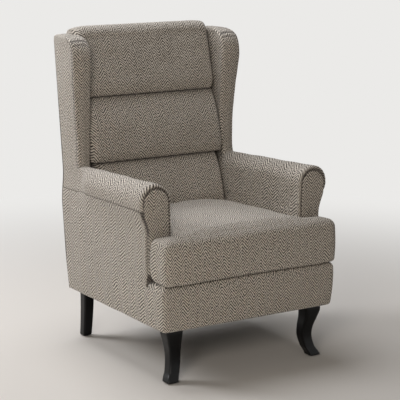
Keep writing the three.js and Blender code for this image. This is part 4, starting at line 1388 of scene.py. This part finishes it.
@dataclass
class BackPad:
    """The back pad: three sewn channels, each fullest near its foot, the top one turned over the frame."""

    pad_front: float = 157.0
    lean_start: float = 455.0
    lean: float = 0.268
    crown: float = 14.0
    seam_depth: float = 13.0
    rise: float = 44.0
    fall: float = 120.0
    bow: float = 2.5
    side_round: float = 24.0
    side_depth: float = 44.0
    side_draw: float = 5.0
    top_turn: float = 34.0
    corner_width: float = 52.0
    corner_fall: float = 27.0
    rear_lift: float = 0.55
    flat_front: float = 143.0
    flat_top: float = 468.0
    across: int = 93
    pucker: float = 1.3
    pucker_pitch: float = 31.0

    def front(self, z: np.ndarray) -> np.ndarray:
        """Gives the line of the pad's front at a height."""
        return self.pad_front + self.lean * np.maximum(0, z - self.lean_start)

    def rear(self, z: np.ndarray) -> np.ndarray:
        """Gives the line of the pad's rear at a height: the frame's depth and the cover in front of the back."""
        return LINES.cover_rear(z) - 40 - 2.5 - 0.6

    def over_top(self, y: float, z: float, crest: float) -> list[np.ndarray]:
        """Turns the top channel over the frame.

        Args:
            y: the depth at which the turn starts.
            z: the height at which it starts.
            crest: its highest point.

        Returns:
            The runs of points up to the crest, down its rear, and forward under it.
        """
        back, ledge = LINES.rear_y - 1, LINES.wing_top - 4.7
        crest_y = mix(y, back, 0.45)
        turn = np.linspace(0, QUARTER, 11)[1:]
        return [
            np.stack([mix(crest_y, y, np.cos(turn)), mix(z, crest, np.sin(turn))], -1),
            np.stack([mix(crest_y, back, np.sin(turn)), mix(ledge, crest, np.cos(turn))], -1),
            np.stack([np.linspace(back, self.rear(ledge), 6)[1:], np.full(5, ledge)], -1),
        ]

    def section(self, x: float, half: float, low: float, high: float, top: bool) -> tuple[np.ndarray, np.ndarray]:
        """Gives one upright section of a channel and its seam marks.

        Args:
            x: the place across the channel.
            half: half the channel's width.
            low: the seam below.
            high: the seam above, or the top of the chair.
            top: whether this is the top channel.

        Returns:
            The ring of y and z points, and one mark for each.
        """
        inward = half - abs(x)
        flat = 1 - stuffed(inward / self.side_round)
        z0, z1 = low + self.side_draw * flat, high - self.side_draw * flat
        if top:
            crest = high - self.corner_fall * (1 - stuffed(inward / self.corner_width))
            z1 = crest - self.top_turn
            crest = mix(crest, high, self.rear_lift)
        s = np.concatenate([np.linspace(0, 0.25, 16), np.linspace(0.25, 0.8, 18)[1:], np.linspace(0.8, 1, 12)[1:]])
        z = mix(z0, z1, s)
        swell = stuffed((z - z0) / self.rise)
        # Seam marks darken the cloth at the channel's seams: dark seam lines with painted shade in their grooves.
        marks = 0.85 * np.exp(-(((z - z0) / 3.4) ** 2))
        if not top:
            swell = swell * stuffed((z1 - z) / self.fall)
            marks = np.maximum(marks, 0.8 * np.exp(-(((z1 - z) / 2.4) ** 2)))
        bow = self.bow * (1 - (2 * s - 1) ** 2)
        full = self.front(z) + self.seam_depth - (self.seam_depth + self.crown) * swell
        y = full - bow + self.side_depth * flat
        ring = [np.stack([y, z], -1)]
        if top:
            ring += self.over_top(y[-1], z1, crest)
        else:
            ring.append(np.stack([np.linspace(y[-1], self.rear(z1), 9)[1:], np.full(8, z1)], -1))
        down = np.linspace(ring[-1][-1, 1], z0, 16)[1:]
        ring.append(np.stack([self.rear(down), down], -1))
        ring.append(np.stack([np.linspace(self.rear(z0), y[0], 9)[1:-1], np.full(7, z0)], -1))
        line = np.concatenate(ring)
        return line, np.concatenate([marks, np.zeros(len(line) - len(marks))])

    def channel(self, shop: Workshop, name: str, half: float, low: float, high: float, seed: int) -> None:
        """Makes one channel and swells it a little.

        Args:
            shop: the workshop.
            name: lower, middle or upper.
            half: half the channel's width.
            low: the seam below.
            high: the seam above, or the top of the chair.
            seed: picks its own unevenness.
        """
        top = name == "upper"
        across = half * np.sin(np.linspace(-1, 1, self.across) * QUARTER)
        made = [self.section(x, half, low, high, top) for x in across]
        points = np.stack([np.insert(line, 0, x, axis=1) for (line, _), x in zip(made, across)])
        patch = Patch(points, around=True, seam=np.stack([m for _, m in made]), capped=True)
        x, y, z = np.moveaxis(points, -1, 0)
        near = np.minimum(z - low, 1e3 if top else high - z)
        soft = ripple(points, 150, seed) * 1.6 + ripple(points, 60, seed + 1) * 0.8
        # Small puckers along the seams, where the thread draws the cloth in.
        pucker = np.sin(x * 2 * math.pi / self.pucker_pitch + 2 * np.sin(x / 37 + seed)) * np.exp(-near / 14)
        amount = soft * smooth(near / 30) + self.pucker * pucker
        amount = amount * (y < self.rear(z) - 25) * smooth((half - np.abs(x)) / 25)
        middle = (low + high) / 2
        patch.push(amount, np.array([0.0, self.front(middle) + 40, middle]))
        # Behind the seat cushion the pad stays flat, clear of the zip's slider.
        depth = patch.points[..., 1]
        behind = patch.points[..., 2] < self.flat_top
        patch.points[..., 1] = np.where(behind, np.maximum(depth, self.flat_front), depth)
        closed = np.concatenate([points, points[:, :1]], axis=1)
        girth = np.linalg.norm(np.diff(closed[self.across // 2], axis=0), axis=-1)
        up = np.r_[0, np.cumsum(girth)] + low
        patch.weave = np.stack(np.broadcast_arrays(closed[..., 0], up[None, :]), -1)
        piece = piece_from(f"back_cushion_{name}", [patch], (0, self.front(middle) + 45, middle))
        shop.upholster(piece, [f"back_channel_{name}"])

    def build(self, shop: Workshop) -> None:
        """Makes the three channels.

        Args:
            shop: the workshop.
        """
        self.channel(shop, "lower", 239.0, 324.5, 610.9, 41)
        self.channel(shop, "middle", 259.5, 611.1, 826.9, 45)
        self.channel(shop, "upper", 259.5, 827.1, 1062.0, 49)


@dataclass
class OutsideBack:
    """The flat rear cover, padded a little and sewn in at its edges."""

    foot: float = 175.5
    head: float = 1031.5
    gap: float = 2.5
    corner: float = 14.0
    padding: float = 4.4
    edge: float = 9.0
    wall: float = 4.0

    def build(self, shop: Workshop) -> None:
        """Makes the rear cover.

        Args:
            shop: the workshop.
        """
        foot, head = self.foot, self.head
        heights = [foot, foot + 1.5, foot + 5.5, *np.linspace(188, 1018, 92), head - 6.5, head - 2.5, head]
        rows, marks = [], []
        for z in heights:
            side = LINES.wing_side(z) if z > LINES.arm_seam else LINES.base_half - LINES.base_draw(z)
            near_top = float(np.clip((z - head + self.corner) / self.corner, 0, 1))
            half = side - self.gap - self.corner * (1 - math.sqrt(1 - near_top**2))
            x = half * np.sin(np.linspace(-1, 1, 75) * QUARTER)
            edge = np.minimum(half - np.abs(x), min(z - foot, head - z))
            y = LINES.back_y(z) - 5 + self.padding * stuffed(edge / self.edge)
            rows.append(np.stack([x, y, np.full_like(x, z)], -1))
            # Seam marks darken the sewn-in edges: dark seam lines with painted shade in the gap.
            marks.append(0.7 * np.exp(-((edge / 2.0) ** 2)))
        points = np.stack(rows)
        inward = smooth((300 - np.abs(points[..., 0])) / 60)
        points[..., 1] += np.minimum(ripple(points, 170, 61) * 0.9, 0.4) * inward
        patch = Patch(points, seam=np.stack(marks), weave=points[..., [0, 2]])
        shop.upholster(piece_from("outside_back_cover", [patch], (0, 0, 600), self.wall), ["outside_back"])


# Seat cushion


@dataclass
class SeatCushion:
    """The loose T-shaped cushion: cover, foam and the zip in its rear."""

    front: float = -384.7
    ear_rear: float = -284.0
    rear: float = 138.0
    half: float = 322.6
    body_half: float = 238.0
    foot: float = 324.0
    height: float = 141.0
    fall: float = 18.0
    crown: float = 15.0
    waist: float = 0.012
    front_bow: float = 4.0
    top_roll: float = 24.0
    foot_roll: float = 12.0
    ear_cut: tuple[float, float] = (42.0, 25.0)
    ear_corner: float = 15.0
    ear_squareness: float = 6.0
    ear_spread: float = 6.5
    bow: float = 2.0
    cell: float = 9.0
    foam_gap: float = 16.0
    coil_pitch: float = 2.6
    coil_height: float = 1.3
    coil_half: float = 3.0

    def grid(self, shrink: float) -> tuple[np.ndarray, np.ndarray, int, int]:
        """Spaces the points of the cushion's top.

        Args:
            shrink: how far the top's edge lies inside the cushion's.

        Returns:
            The columns, the rows, and how many of each belong to an ear.
        """
        half, body_half = self.half - shrink, self.body_half - shrink
        front, ear_rear = self.front + shrink, self.ear_rear - shrink
        body = np.linspace(0, body_half, round(self.body_half / self.cell))[1:]
        ear = np.linspace(body_half, half, round((self.half - self.body_half) / self.cell) + 1)[1:]
        right = np.concatenate([body, ear])
        ahead = np.linspace(front, ear_rear, round((self.ear_rear - self.front) / self.cell) + 1)
        behind = np.linspace(ear_rear, self.rear - shrink, round((self.rear - self.ear_rear) / self.cell) + 1)[1:]
        columns, rows = np.concatenate([-right[::-1], [0], right]), np.concatenate([ahead, behind])
        return columns, rows, len(ear), len(ahead)

    def border(self, nx: int, ny: int, ears: int, ear_rows: int) -> list[tuple[int, int]]:
        """Walks round the edge of the T, from the front left corner along the front.

        Args:
            nx: how many columns there are.
            ny: how many rows there are.
            ears: how many columns belong to one ear.
            ear_rows: how many rows belong to the ears.

        Returns:
            The row and the column of each point of the edge.
        """
        last, notch = nx - 1, ear_rows - 1
        return (
            [(0, i) for i in range(last)]
            + [(j, last) for j in range(notch)]
            + [(notch, last - k) for k in range(ears)]
            + [(j, last - ears) for j in range(notch, ny - 1)]
            + [(ny - 1, last - ears - k) for k in range(last - 2 * ears)]
            + [(j, ears) for j in range(ny - 1, notch, -1)]
            + [(notch, ears - k) for k in range(ears)]
            + [(j, 0) for j in range(notch, 0, -1)]
        )

    def outward(self, ring: np.ndarray) -> np.ndarray:
        """Gives the way out of the T at each point of its edge, longer at the corners.

        Args:
            ring: the points of the edge as x and y.

        Returns:
            One vector for each point.
        """
        after = np.roll(ring, -1, axis=0) - ring
        after = np.stack([after[:, 1], -after[:, 0]], -1)
        after /= np.linalg.norm(after, axis=1, keepdims=True)
        before = np.roll(after, 1, axis=0)
        out = (before + after) / (1 + (before * after).sum(1, keepdims=True))
        sharp = np.clip(np.linalg.norm(out, axis=1, keepdims=True) - 1, 0, 0.4) / 0.4
        return out * mix(1.0, 0.96, sharp)

    def shape(self, name: str, margin: float) -> bpy.types.Object:
        """Makes the closed T-shaped body: a domed top, a flat foot and a rounded wall between them.

        Args:
            name: the name of the piece.
            margin: how far it is set in from the cushion's size.

        Returns:
            The piece.
        """
        shrink = margin + self.top_roll
        columns, rows, ears, ear_rows = self.grid(shrink)
        nx, ny = len(columns), len(rows)
        x, y = np.meshgrid(columns, rows)
        along = np.clip((y - rows[0]) / (rows[-1] - rows[0]), 0, 1)
        ahead = 1 - np.clip((y - rows[0]) / (rows[ear_rows - 1] - rows[0]), 0, 1)
        half, body_half = self.half - shrink, self.body_half - shrink
        px = x * (1 - self.waist * (1 - (2 * along - 1) ** 2))
        py = y + self.front_bow * (1 - (x / half) ** 2) * ahead
        width = mix(half, body_half, smooth(1 - ahead))
        dome = self.crown * (1 - np.clip(np.abs(x) / width, 0, 1) ** 2)
        dome = dome * stuffed(along / 0.25) * (1 - 0.2 * smooth(along))
        top = self.foot + self.height - margin + dome - self.fall * along
        low = self.foot + margin
        used = np.ones((ny, nx), bool)
        used[ear_rows:, :ears] = False
        used[ear_rows:, nx - ears :] = False
        count = int(used.sum())
        index = -np.ones((ny, nx), int)
        index[used] = np.arange(count)
        layers = [np.stack([px, py, z], -1)[used] for z in (top, np.full_like(top, low))]
        faces = []
        for j in range(ny - 1):
            for i in range(nx - 1):
                quad = [index[c] for c in ((j, i), (j, i + 1), (j + 1, i + 1), (j + 1, i))]
                if min(quad) >= 0:
                    faces += [quad, [q + count for q in reversed(quad)]]
        loop = self.border(nx, ny, ears, ear_rows)
        ring = np.array([(px[c], py[c]) for c in loop])
        head = np.array([top[c] for c in loop]) - self.top_roll
        out = self.outward(ring)
        previous, start = [index[c] + count for c in loop], 2 * count
        for reach, rise, drop in self.wall():
            layers.append(np.c_[ring + out * reach, mix(low + self.foot_roll, head, rise) + drop])
            current = list(range(start, start + len(loop)))
            faces += self.band(previous, current)
            previous, start = current, start + len(loop)
        faces += self.band(previous, [index[c] for c in loop])
        mesh = bpy.data.meshes.new(name)
        mesh.from_pydata((np.concatenate(layers) * MM).tolist(), [], faces)
        piece = placed(name, mesh)
        tidy(piece, Vector((0, -0.13, 0.4)))
        return piece

    def wall(self) -> list[tuple[float, float, float]]:
        """Draws the side's profile from the foot up.

        Returns:
            How far out each ring lies, its share of the straight run, and its height above that.
        """
        low, high = self.foot_roll, self.top_roll
        foot = [(high - low * (1 - math.sin(a)), 0.0, -low * math.cos(a)) for a in np.linspace(0, QUARTER, 6)[:-1]]
        straight = [(high + self.bow * (1 - (2 * r - 1) ** 2), r, 0.0) for r in np.linspace(0, 1, 9)]
        top = [(high * math.cos(a), 1.0, high * math.sin(a)) for a in np.linspace(0, QUARTER, 8)[1:-1]]
        return foot + straight + top

    def band(self, lower: list[int], upper: list[int]) -> list[list[int]]:
        """Gives the faces between two rings of vertices."""
        n = len(lower)
        return [[lower[k], lower[(k + 1) % n], upper[(k + 1) % n], upper[k]] for k in range(n)]

    def weave(self, piece: bpy.types.Object) -> None:
        """Lays the weave over the top and down the front in one run, and along the sides.

        Args:
            piece: the cover.
        """
        mesh = piece.data
        normals = np.empty(len(mesh.polygons) * 3)
        mesh.polygons.foreach_get("normal", normals)
        sides = np.empty(len(mesh.polygons), np.int32)
        mesh.polygons.foreach_get("loop_total", sides)
        vertex = np.empty(len(mesh.loops), np.int32)
        mesh.loops.foreach_get("vertex_index", vertex)
        p, n = places(piece)[vertex], np.repeat(normals.reshape(-1, 3), sides, axis=0)
        x, y, z = p.T
        r, half, front = self.ear_corner * MM, self.half * MM, self.front * MM
        past_side, past_front = np.abs(x) - (half - r), front + r - y
        turn = np.arctan2(np.maximum(past_side, 0), np.maximum(past_front, 1e-6))
        round_ear = half - r + r * turn * 0.85 - SIDE_WEAVE * np.minimum(past_front, 0)
        along = np.where(past_side > 0, round_ear, np.abs(x))
        wall = np.abs(n[:, 2]) < 0.62
        u = np.where(wall, np.sign(x) * along, x)
        v = np.where(wall, front, y) + z
        # Behind the ears the cloth of the top runs on down the sides.
        beside = wall & (np.abs(n[:, 0]) > 0.6) & (y > self.ear_rear * MM)
        fall = self.fall * MM * (y - front) / ((self.rear - self.front) * MM)
        edge = (self.foot + self.height - 9) * MM - fall
        u = np.where(beside, np.sign(x) * (np.abs(x) + edge - z), u)
        v = np.where(beside, y + edge, v)
        mesh.uv_layers.new(name=WEAVE).data.foreach_set("uv", np.stack([u, v], -1).ravel())

    def build(self, shop: Workshop) -> None:
        """Makes the cover, the foam and the zip.

        Args:
            shop: the workshop.
        """
        cover = self.shape("seat_cushion_tee", 0.0)
        inflate(cover, 4.0, 14.0, (0.05, 0.05, 0.5))
        refined(cover)
        self.settle_down(cover)
        self.weave(cover)
        shop.upholster(cover, ["seat_cushion_cover"], CUSHION)
        foam = self.shape("seat_cushion_filling", self.foam_gap)
        foam.data.uv_layers.new(name=WEAVE)
        shop.hand_over(foam, FOAM, ["seat_cushion_foam"], CUSHION)
        self.build_zip(shop)

    def settle_down(self, piece: bpy.types.Object) -> None:
        """Keeps the cushion off the deck and off its neighbours, and adds the small unevenness of a used seat.

        Args:
            piece: the swollen cover.
        """
        p = places(piece) / MM
        p[:, 2] = np.maximum(p[:, 2], self.foot + 0.3)
        high = smooth((p[:, 2] - 400) / 50)
        p[:, 2] += (ripple(p, 170, 71) * 1.6 + ripple(p, 70, 72) * 0.7) * high
        body = p[:, 1] > self.ear_rear + 4
        limit = np.where(body, self.body_half + 0.6, self.half + 2)
        p[:, 0] = np.clip(p[:, 0], -limit, limit)
        p[:, 1] = np.clip(p[:, 1], self.front - 4, self.rear)
        self.fit_ears(p)
        piece.data.vertices.foreach_set("co", (p * MM).ravel())
        piece.data.update()

    def fit_ears(self, p: np.ndarray) -> None:
        """Rounds the ears, spreads them to the side cover behind, and cuts their lower rear corner at a slant.

        Args:
            p: the cover's points in millimetres; they are changed.
        """
        ears = np.abs(p[:, 0]) > self.body_half + 2
        p[ears, 1] = np.minimum(p[ears, 1], self.ear_rear)
        r, power = self.ear_corner, self.ear_squareness
        out = np.stack([np.abs(p[:, 0]) - (self.half - r), p[:, 1] - (self.ear_rear - r)], -1) / r
        near = (out > 0).all(axis=1)
        c = out[near] / np.linalg.norm(out[near], axis=1, keepdims=True)
        out[near] /= (c**power).sum(axis=1, keepdims=True) ** (1 / power)
        p[near, 0] = np.sign(p[near, 0]) * (self.half - r + out[near, 0] * r)
        p[near, 1] = self.ear_rear - r + out[near, 1] * r
        spread = smooth((p[:, 1] - self.ear_rear + 60) / 60) * smooth((np.abs(p[:, 0]) - 290) / 30) * ears
        p[:, 0] += np.sign(p[:, 0]) * self.ear_spread * spread
        deep, tall = self.ear_cut
        across = math.hypot(deep, tall)
        over = (p[:, 1] - self.ear_rear + deep) / deep + (self.foot + tall - p[:, 2]) / tall - 1
        over = np.where(ears, np.maximum(over, 0) * deep * tall / across, 0)
        p[:, 1] -= over * tall / across
        p[:, 2] += over * deep / across

    def build_zip(self, shop: Workshop) -> None:
        """Makes the tape with its coil, and dresses the slider.

        Args:
            shop: the workshop.
        """
        low, high = node_box("cushion_zip_tape")
        x = np.linspace(low[0], high[0], 600)
        middle, r = (low[2] + high[2]) / 2, self.coil_half
        runs = ((low[2], middle - r - 0.4, 6), (middle - r, middle + r, 9), (middle + r + 0.4, high[2], 6))
        teeth = 0.55 + 0.45 * np.sin(x * 2 * math.pi / self.coil_pitch)
        rows = []
        for z in np.concatenate([np.linspace(*run) for run in runs]):
            coil = self.coil_height * math.exp(-((abs(z - middle) / 2.4) ** 4)) * teeth
            rows.append(np.stack([x, high[1] - 0.5 + coil, np.full_like(x, z)], -1))
        tape = piece_from("cushion_zip_strip", [Patch(np.stack(rows))], (0, 100, 390), 0.8)
        shop.hand_over(tape, ZIP_TAPE, ["cushion_zip_tape"], CUSHION)
        shop.dress(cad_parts["cushion_zip_slider"], ZINC_STEEL)


# Legs, frame and suspension


@dataclass
class Legs:
    """Cabriole front legs and raked rear legs, on glides, with their bolts.

    The stations give, from the foot up, the share of the leg's height, of its sweep along the diagonal, and
    of its swell from ankle to knee.
    """

    front_centre: tuple[float, float] = (262.5, -311.5)
    rear_centre: tuple[float, float] = (262.0, 255.7)
    top: float = 174.8
    foot: float = 4.2
    sweep: float = 12.7
    ankle: float = 37.5
    knee: float = 56.0
    rake: float = 15.0
    rear_widths: tuple[float, float] = (32.0, 38.0)
    squareness: float = 9.0
    stations: tuple = (
        (0, 1.15, 0.16), (0.05, 0.9, 0.1), (0.162, -0.2, 0.0), (0.367, -1, 0.06), (0.555, -0.87, 0.2),
        (0.76, -0.13, 0.6), (0.93, 0.24, 1.02), (1, 0, 1),
    )

    def square(self, x: float, y: float, z: float, width: float) -> np.ndarray:
        """Gives a level square with soft edges.

        Args:
            x: its middle.
            y: its middle.
            z: its height.
            width: its width.

        Returns:
            The points round it.
        """
        a = np.linspace(0, 4 * QUARTER, 49)[:-1]
        c, s, n = np.cos(a), np.sin(a), self.squareness
        r = width / 2 / (np.abs(c) ** n + np.abs(s) ** n) ** (1 / n)
        return np.stack([x + r * c, y + r * s, np.full_like(a, z)], -1)

    def cabriole(self) -> list[np.ndarray]:
        """Sweeps the right front leg from its foot to its knee.

        Returns:
            Its rings.
        """
        heights, sweeps, swells = np.array(self.stations).T
        x, y = self.front_centre
        rings = []
        for h in np.linspace(0, 1, 60):
            sweep = self.eased(h, heights, sweeps) * self.sweep / math.sqrt(2)
            width = mix(self.ankle, self.knee, self.eased(h, heights, swells))
            rings.append(self.square(x + sweep, y - sweep, mix(self.foot, self.top, h), width))
        return rings

    def raked(self) -> list[np.ndarray]:
        """Tapers the right rear leg and leans it back.

        Returns:
            Its rings.
        """
        x, y = self.rear_centre
        rings = []
        for h in np.linspace(0, 1, 24):
            width = mix(*self.rear_widths, h)
            rings.append(self.square(x, y + self.rake * (1 - h) ** 2, mix(self.foot, self.top, h), width))
        return rings

    def eased(self, h: float, heights: np.ndarray, values: np.ndarray) -> float:
        """Reads a smooth curve through stations.

        Args:
            h: the height wanted.
            heights: the heights of the stations.
            values: their values.

        Returns:
            The value at the height.
        """
        k = int(np.clip(np.searchsorted(heights, h) - 1, 0, len(heights) - 2))
        t = (h - heights[k]) / (heights[k + 1] - heights[k])
        before, after = values[max(k - 1, 0)], values[min(k + 2, len(values) - 1)]
        a, b = values[k], values[k + 1]
        square = 2 * before - 5 * a + 4 * b - after
        cube = 3 * a - before - 3 * b + after
        return float(0.5 * (2 * a + (b - before) * t + square * t**2 + cube * t**3))

    def rounded_foot(self, rings: list[np.ndarray]) -> list[np.ndarray]:
        """Adds a small round to the foot of a leg.

        Args:
            rings: the leg's rings from the foot up.

        Returns:
            The rings with the new ones.
        """
        foot = rings[0]
        centre = foot.mean(0)
        sole = centre + (foot - centre) * 0.9
        edge = centre + (foot - centre) * 0.97 + [0, 0, 0.5]
        return [sole, edge, foot + [0, 0, 1.8], *rings[1:]]

    def build(self, shop: Workshop) -> None:
        """Makes the four legs and dresses their glides and bolts.

        Args:
            shop: the workshop.
        """
        kinds = (
            ("front", "cabriole_leg", self.cabriole(), self.front_centre),
            ("rear", "raked_leg", self.raked(), self.rear_centre),
        )
        for side in Side:
            name = side.name.lower()
            for end, kind, rings, (x, y) in kinds:
                skin = np.stack(self.rounded_foot(rings)) * [side.value, 1, 1]
                leg = Patch(skin, around=True, capped=True)
                piece = piece_from(f"{kind}_{name}", [leg], (x * side.value, y, 90))
                shop.hand_over(piece, LACQUER, [f"{end}_leg_{name}"])
                shop.dress(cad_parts[f"{end}_leg_glide_{name}"], NYLON)
                shop.dress(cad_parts[f"{end}_leg_bolt_{name}"], ZINC_STEEL)


@dataclass
class Timber:
    """The beech frame under the covers: every CAD piece keeps its shape."""

    runs: dict = field(
        default_factory=lambda: {
            Grain.ALONG_X: ["front_seat_rail", "rear_seat_rail", "back_top_rail", "back_lumbar_rail"],
            Grain.ALONG_Y: [
                "side_seat_rail_left", "side_seat_rail_right", "arm_top_rail_left", "arm_top_rail_right",
            ],
            Grain.ALONG_Z: [
                "back_upright_left", "back_upright_right", "arm_post_left", "arm_post_right",
                "wing_frame_left", "wing_frame_right", "front_corner_block_left", "front_corner_block_right",
                "rear_corner_block_left", "rear_corner_block_right",
            ],
        }
    )

    def build(self, shop: Workshop) -> None:
        """Dresses the frame.

        Args:
            shop: the workshop.
        """
        for grain, names in self.runs.items():
            for name in names:
                shop.dress(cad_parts[name], SawnBeech(grain))
            LOG.info("%d timbers with the grain %s", len(names), grain.name.lower())


@dataclass
class Suspension:
    """Springs, deck pad, back straps and the dust cover."""

    springs: int = 5
    straps: int = 3
    deck_edge: float = 20.0
    deck_fall: float = 5.0
    strap_thick: float = 1.9
    felt_thick: float = 0.5
    leg_side: float = 234.0
    leg_front: float = -283.0
    leg_rear: float = 234.7

    def build(self, shop: Workshop) -> None:
        """Makes the soft pieces and dresses the springs.

        Args:
            shop: the workshop.
        """
        for number in range(1, self.springs + 1):
            shop.dress(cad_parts[f"seat_spring_{number}"], SPRING_STEEL)
        self.build_deck(shop)
        for number in range(1, self.straps + 1):
            self.build_strap(shop, number)
        self.build_dust_cover(shop)

    def build_deck(self, shop: Workshop) -> None:
        """Makes the deck pad under the loose cushion.

        Args:
            shop: the workshop.
        """
        low, high = node_box("seat_deck_pad")
        x, y = np.meshgrid(np.linspace(low[0], high[0], 60), np.linspace(low[1], high[1], 62))
        edge = np.minimum(np.minimum(x - low[0], high[0] - x), np.minimum(y - low[1], high[1] - y))
        dents = 0.5 * np.abs(ripple(np.stack([x, y, 0 * x], -1), 80, 5))
        z = high[2] - self.deck_fall * (1 - stuffed(edge / self.deck_edge)) - dents
        deck = piece_from("seat_deck", [Patch(np.stack([x, y, z], -1))], (0, 0, 250), 20.0)
        shop.hand_over(deck, CALICO, ["seat_deck_pad"])

    def build_strap(self, shop: Workshop, number: int) -> None:
        """Makes one strap across the uprights, leaning with them.

        Args:
            shop: the workshop.
            number: which strap, from the lowest up.
        """
        node = f"back_webbing_{number}"
        low, high = node_box(node)
        x, z = np.meshgrid(np.linspace(low[0], high[0], 60), np.linspace(low[2], high[2], 9))
        lean = (high[1] - low[1] - 2.5) * (z - low[2]) / (high[2] - low[2])
        points = np.stack([x, low[1] + lean + 0.3, z], -1)
        strap = piece_from(f"back_strap_{number}", [Patch(points)], (0, 900, 600), self.strap_thick)
        shop.hand_over(strap, WEBBING, [node])

    def build_dust_cover(self, shop: Workshop) -> None:
        """Makes the thin felt stapled under the frame, cut round the legs.

        Args:
            shop: the workshop.
        """
        low, high = node_box("dust_cover")
        side, front, rear = self.leg_side, self.leg_front, self.leg_rear
        x_runs = ((low[0], -side, 8), (-side, side, 60), (side, high[0], 8))
        y_runs = ((low[1], front, 8), (front, rear, 60), (rear, high[1], 6))
        columns, rows = (np.unique(np.concatenate([np.linspace(*r) for r in runs])) for runs in (x_runs, y_runs))
        x, y = np.meshgrid(columns, rows)
        z = high[2] - 0.2 - 0.5 * np.abs(ripple(np.stack([x, y, 0 * x], -1), 90, 81))
        between = np.abs(columns) <= side
        strips = (
            (rows <= front, between),
            ((rows >= front) & (rows <= rear), np.ones_like(between)),
            (rows >= rear, between),
        )
        patches = [Patch(np.stack([v[np.ix_(*part)] for v in (x, y, z)], -1)) for part in strips]
        felt = piece_from("dust_cover_felt", patches, (0, 0, 400), self.felt_thick)
        shop.hand_over(felt, FELT, ["dust_cover"])


# Studio


@dataclass(frozen=True)
class Lamp:
    """One soft round lamp that points at a target, in metres and watts."""

    name: str
    place: tuple[float, float, float]
    target: tuple[float, float, float]
    size: float
    power: float
    colour: str

    def build(self) -> None:
        """Makes the lamp."""
        data = bpy.data.lights.new(self.name, "AREA")
        data.shape, data.size, data.energy = "DISK", self.size, self.power
        data.color = linear(self.colour)[:3]
        lamp = placed(self.name, data)
        lamp.location = self.place
        way = Vector(self.target) - Vector(self.place)
        lamp.rotation_euler = way.to_track_quat("-Z", "Y").to_euler()


@dataclass
class Studio:
    """Plain pale floor and backdrop, soft lamps and the camera, in metres and degrees."""

    place: tuple[float, float, float] = (-2.5242, -4.1222, 1.5030)
    pitch: float = 78.25
    turn: float = -31.84
    lens: float = 133.16
    sensor: float = 36.0
    floor_half: float = 40.0
    floor: str = "#d9d4cd"
    backdrop: str = "#ebeae8"
    sky: str = "#f2f0ee"
    fill: float = 0.11
    fade: tuple[float, float] = (0.7, 2.6)
    lamps: tuple[Lamp, ...] = (
        Lamp("window_left", (-2.0, 2.0, 2.2), (0, 0, 0.8), 1.5, 62, "#fafbff"),
        Lamp("window_front", (-2.75, -3.0, 2.0), (0, 0, 0.6), 1.3, 50, "#fff8f0"),
        Lamp("room_front", (-0.4, -4.0, 1.8), (0, 0, 0.6), 1.7, 7, "#fff3e6"),
        Lamp("ceiling", (-0.2, 0.8, 3.2), (0, 0, 0.4), 2.0, 54, "#f8faff"),
    )

    def floor_paint(self) -> bpy.types.Material:
        """Makes the floor: matt paint with the chair's shadow, which fades into the pale backdrop further away.

        Returns:
            The material.
        """
        g = Finish("floor_matt_paint")
        g.shade(Base_Color=linear(self.floor), Roughness=0.9, Specular_IOR_Level=0.1)
        place = g.add("ShaderNodeTexCoord").outputs["Object"]
        away = g.add("ShaderNodeVectorMath", {0: place}, operation="LENGTH").outputs["Value"]
        near, far = self.fade
        reach = {"Value": away, "From Min": near, "From Max": far}
        faded = g.add("ShaderNodeMapRange", reach, interpolation_type="SMOOTHSTEP")
        share = g.add("ShaderNodeMath", {0: faded, 1: g.seen()}, operation="MULTIPLY")
        glow = g.add("ShaderNodeEmission", {"Color": linear(self.backdrop)})
        both = g.add("ShaderNodeMixShader", {0: share, 1: g.shader, 2: glow})
        g.add("ShaderNodeOutputMaterial", {"Surface": both}, is_active_output=True)
        return g.material

    def build_room(self) -> None:
        """Makes the room: a weak even fill for the chair, and the pale backdrop where it is seen."""
        world = bpy.data.worlds.new("room")
        bpy.context.scene.world = world
        g = Graph(world)
        fill = g.add("ShaderNodeBackground", {0: linear(self.sky), 1: self.fill})
        pale = g.add("ShaderNodeBackground", {0: linear(self.backdrop), 1: 1.0})
        both = g.add("ShaderNodeMixShader", {0: g.seen(), 1: fill, 2: pale})
        g.add("ShaderNodeOutputWorld", {0: both})

    def build(self) -> None:
        """Makes the studio."""
        scene = bpy.context.scene
        scene.view_settings.view_transform = "Standard"
        mesh = bpy.data.meshes.new("floor")
        r = self.floor_half
        mesh.from_pydata([(-r, -r, 0), (r, -r, 0), (r, r, 0), (-r, r, 0)], [], [(0, 1, 2, 3)])
        mesh.materials.append(self.floor_paint())
        placed("floor", mesh)
        self.build_room()
        for lamp in self.lamps:
            lamp.build()
        data = bpy.data.cameras.new("camera")
        data.lens, data.sensor_width = self.lens, self.sensor
        camera = placed("camera", data)
        camera.location = self.place
        camera.rotation_euler = (math.radians(self.pitch), 0, math.radians(self.turn))
        scene.camera = camera


def main() -> None:
    """Builds the chair's pieces in order."""
    logging.basicConfig(level=logging.INFO, format="%(name)s: %(message)s")
    Studio().build()
    shop = Workshop()
    Timber().build(shop)
    Suspension().build(shop)
    Legs().build(shop)
    SeatBox().build(shop)
    for side in Side:
        Arm(side).build(shop)
        Wing(side).build(shop)
    BackPad().build(shop)
    OutsideBack().build(shop)
    SeatCushion().build(shop)


if __name__ == "__main__":
    main()
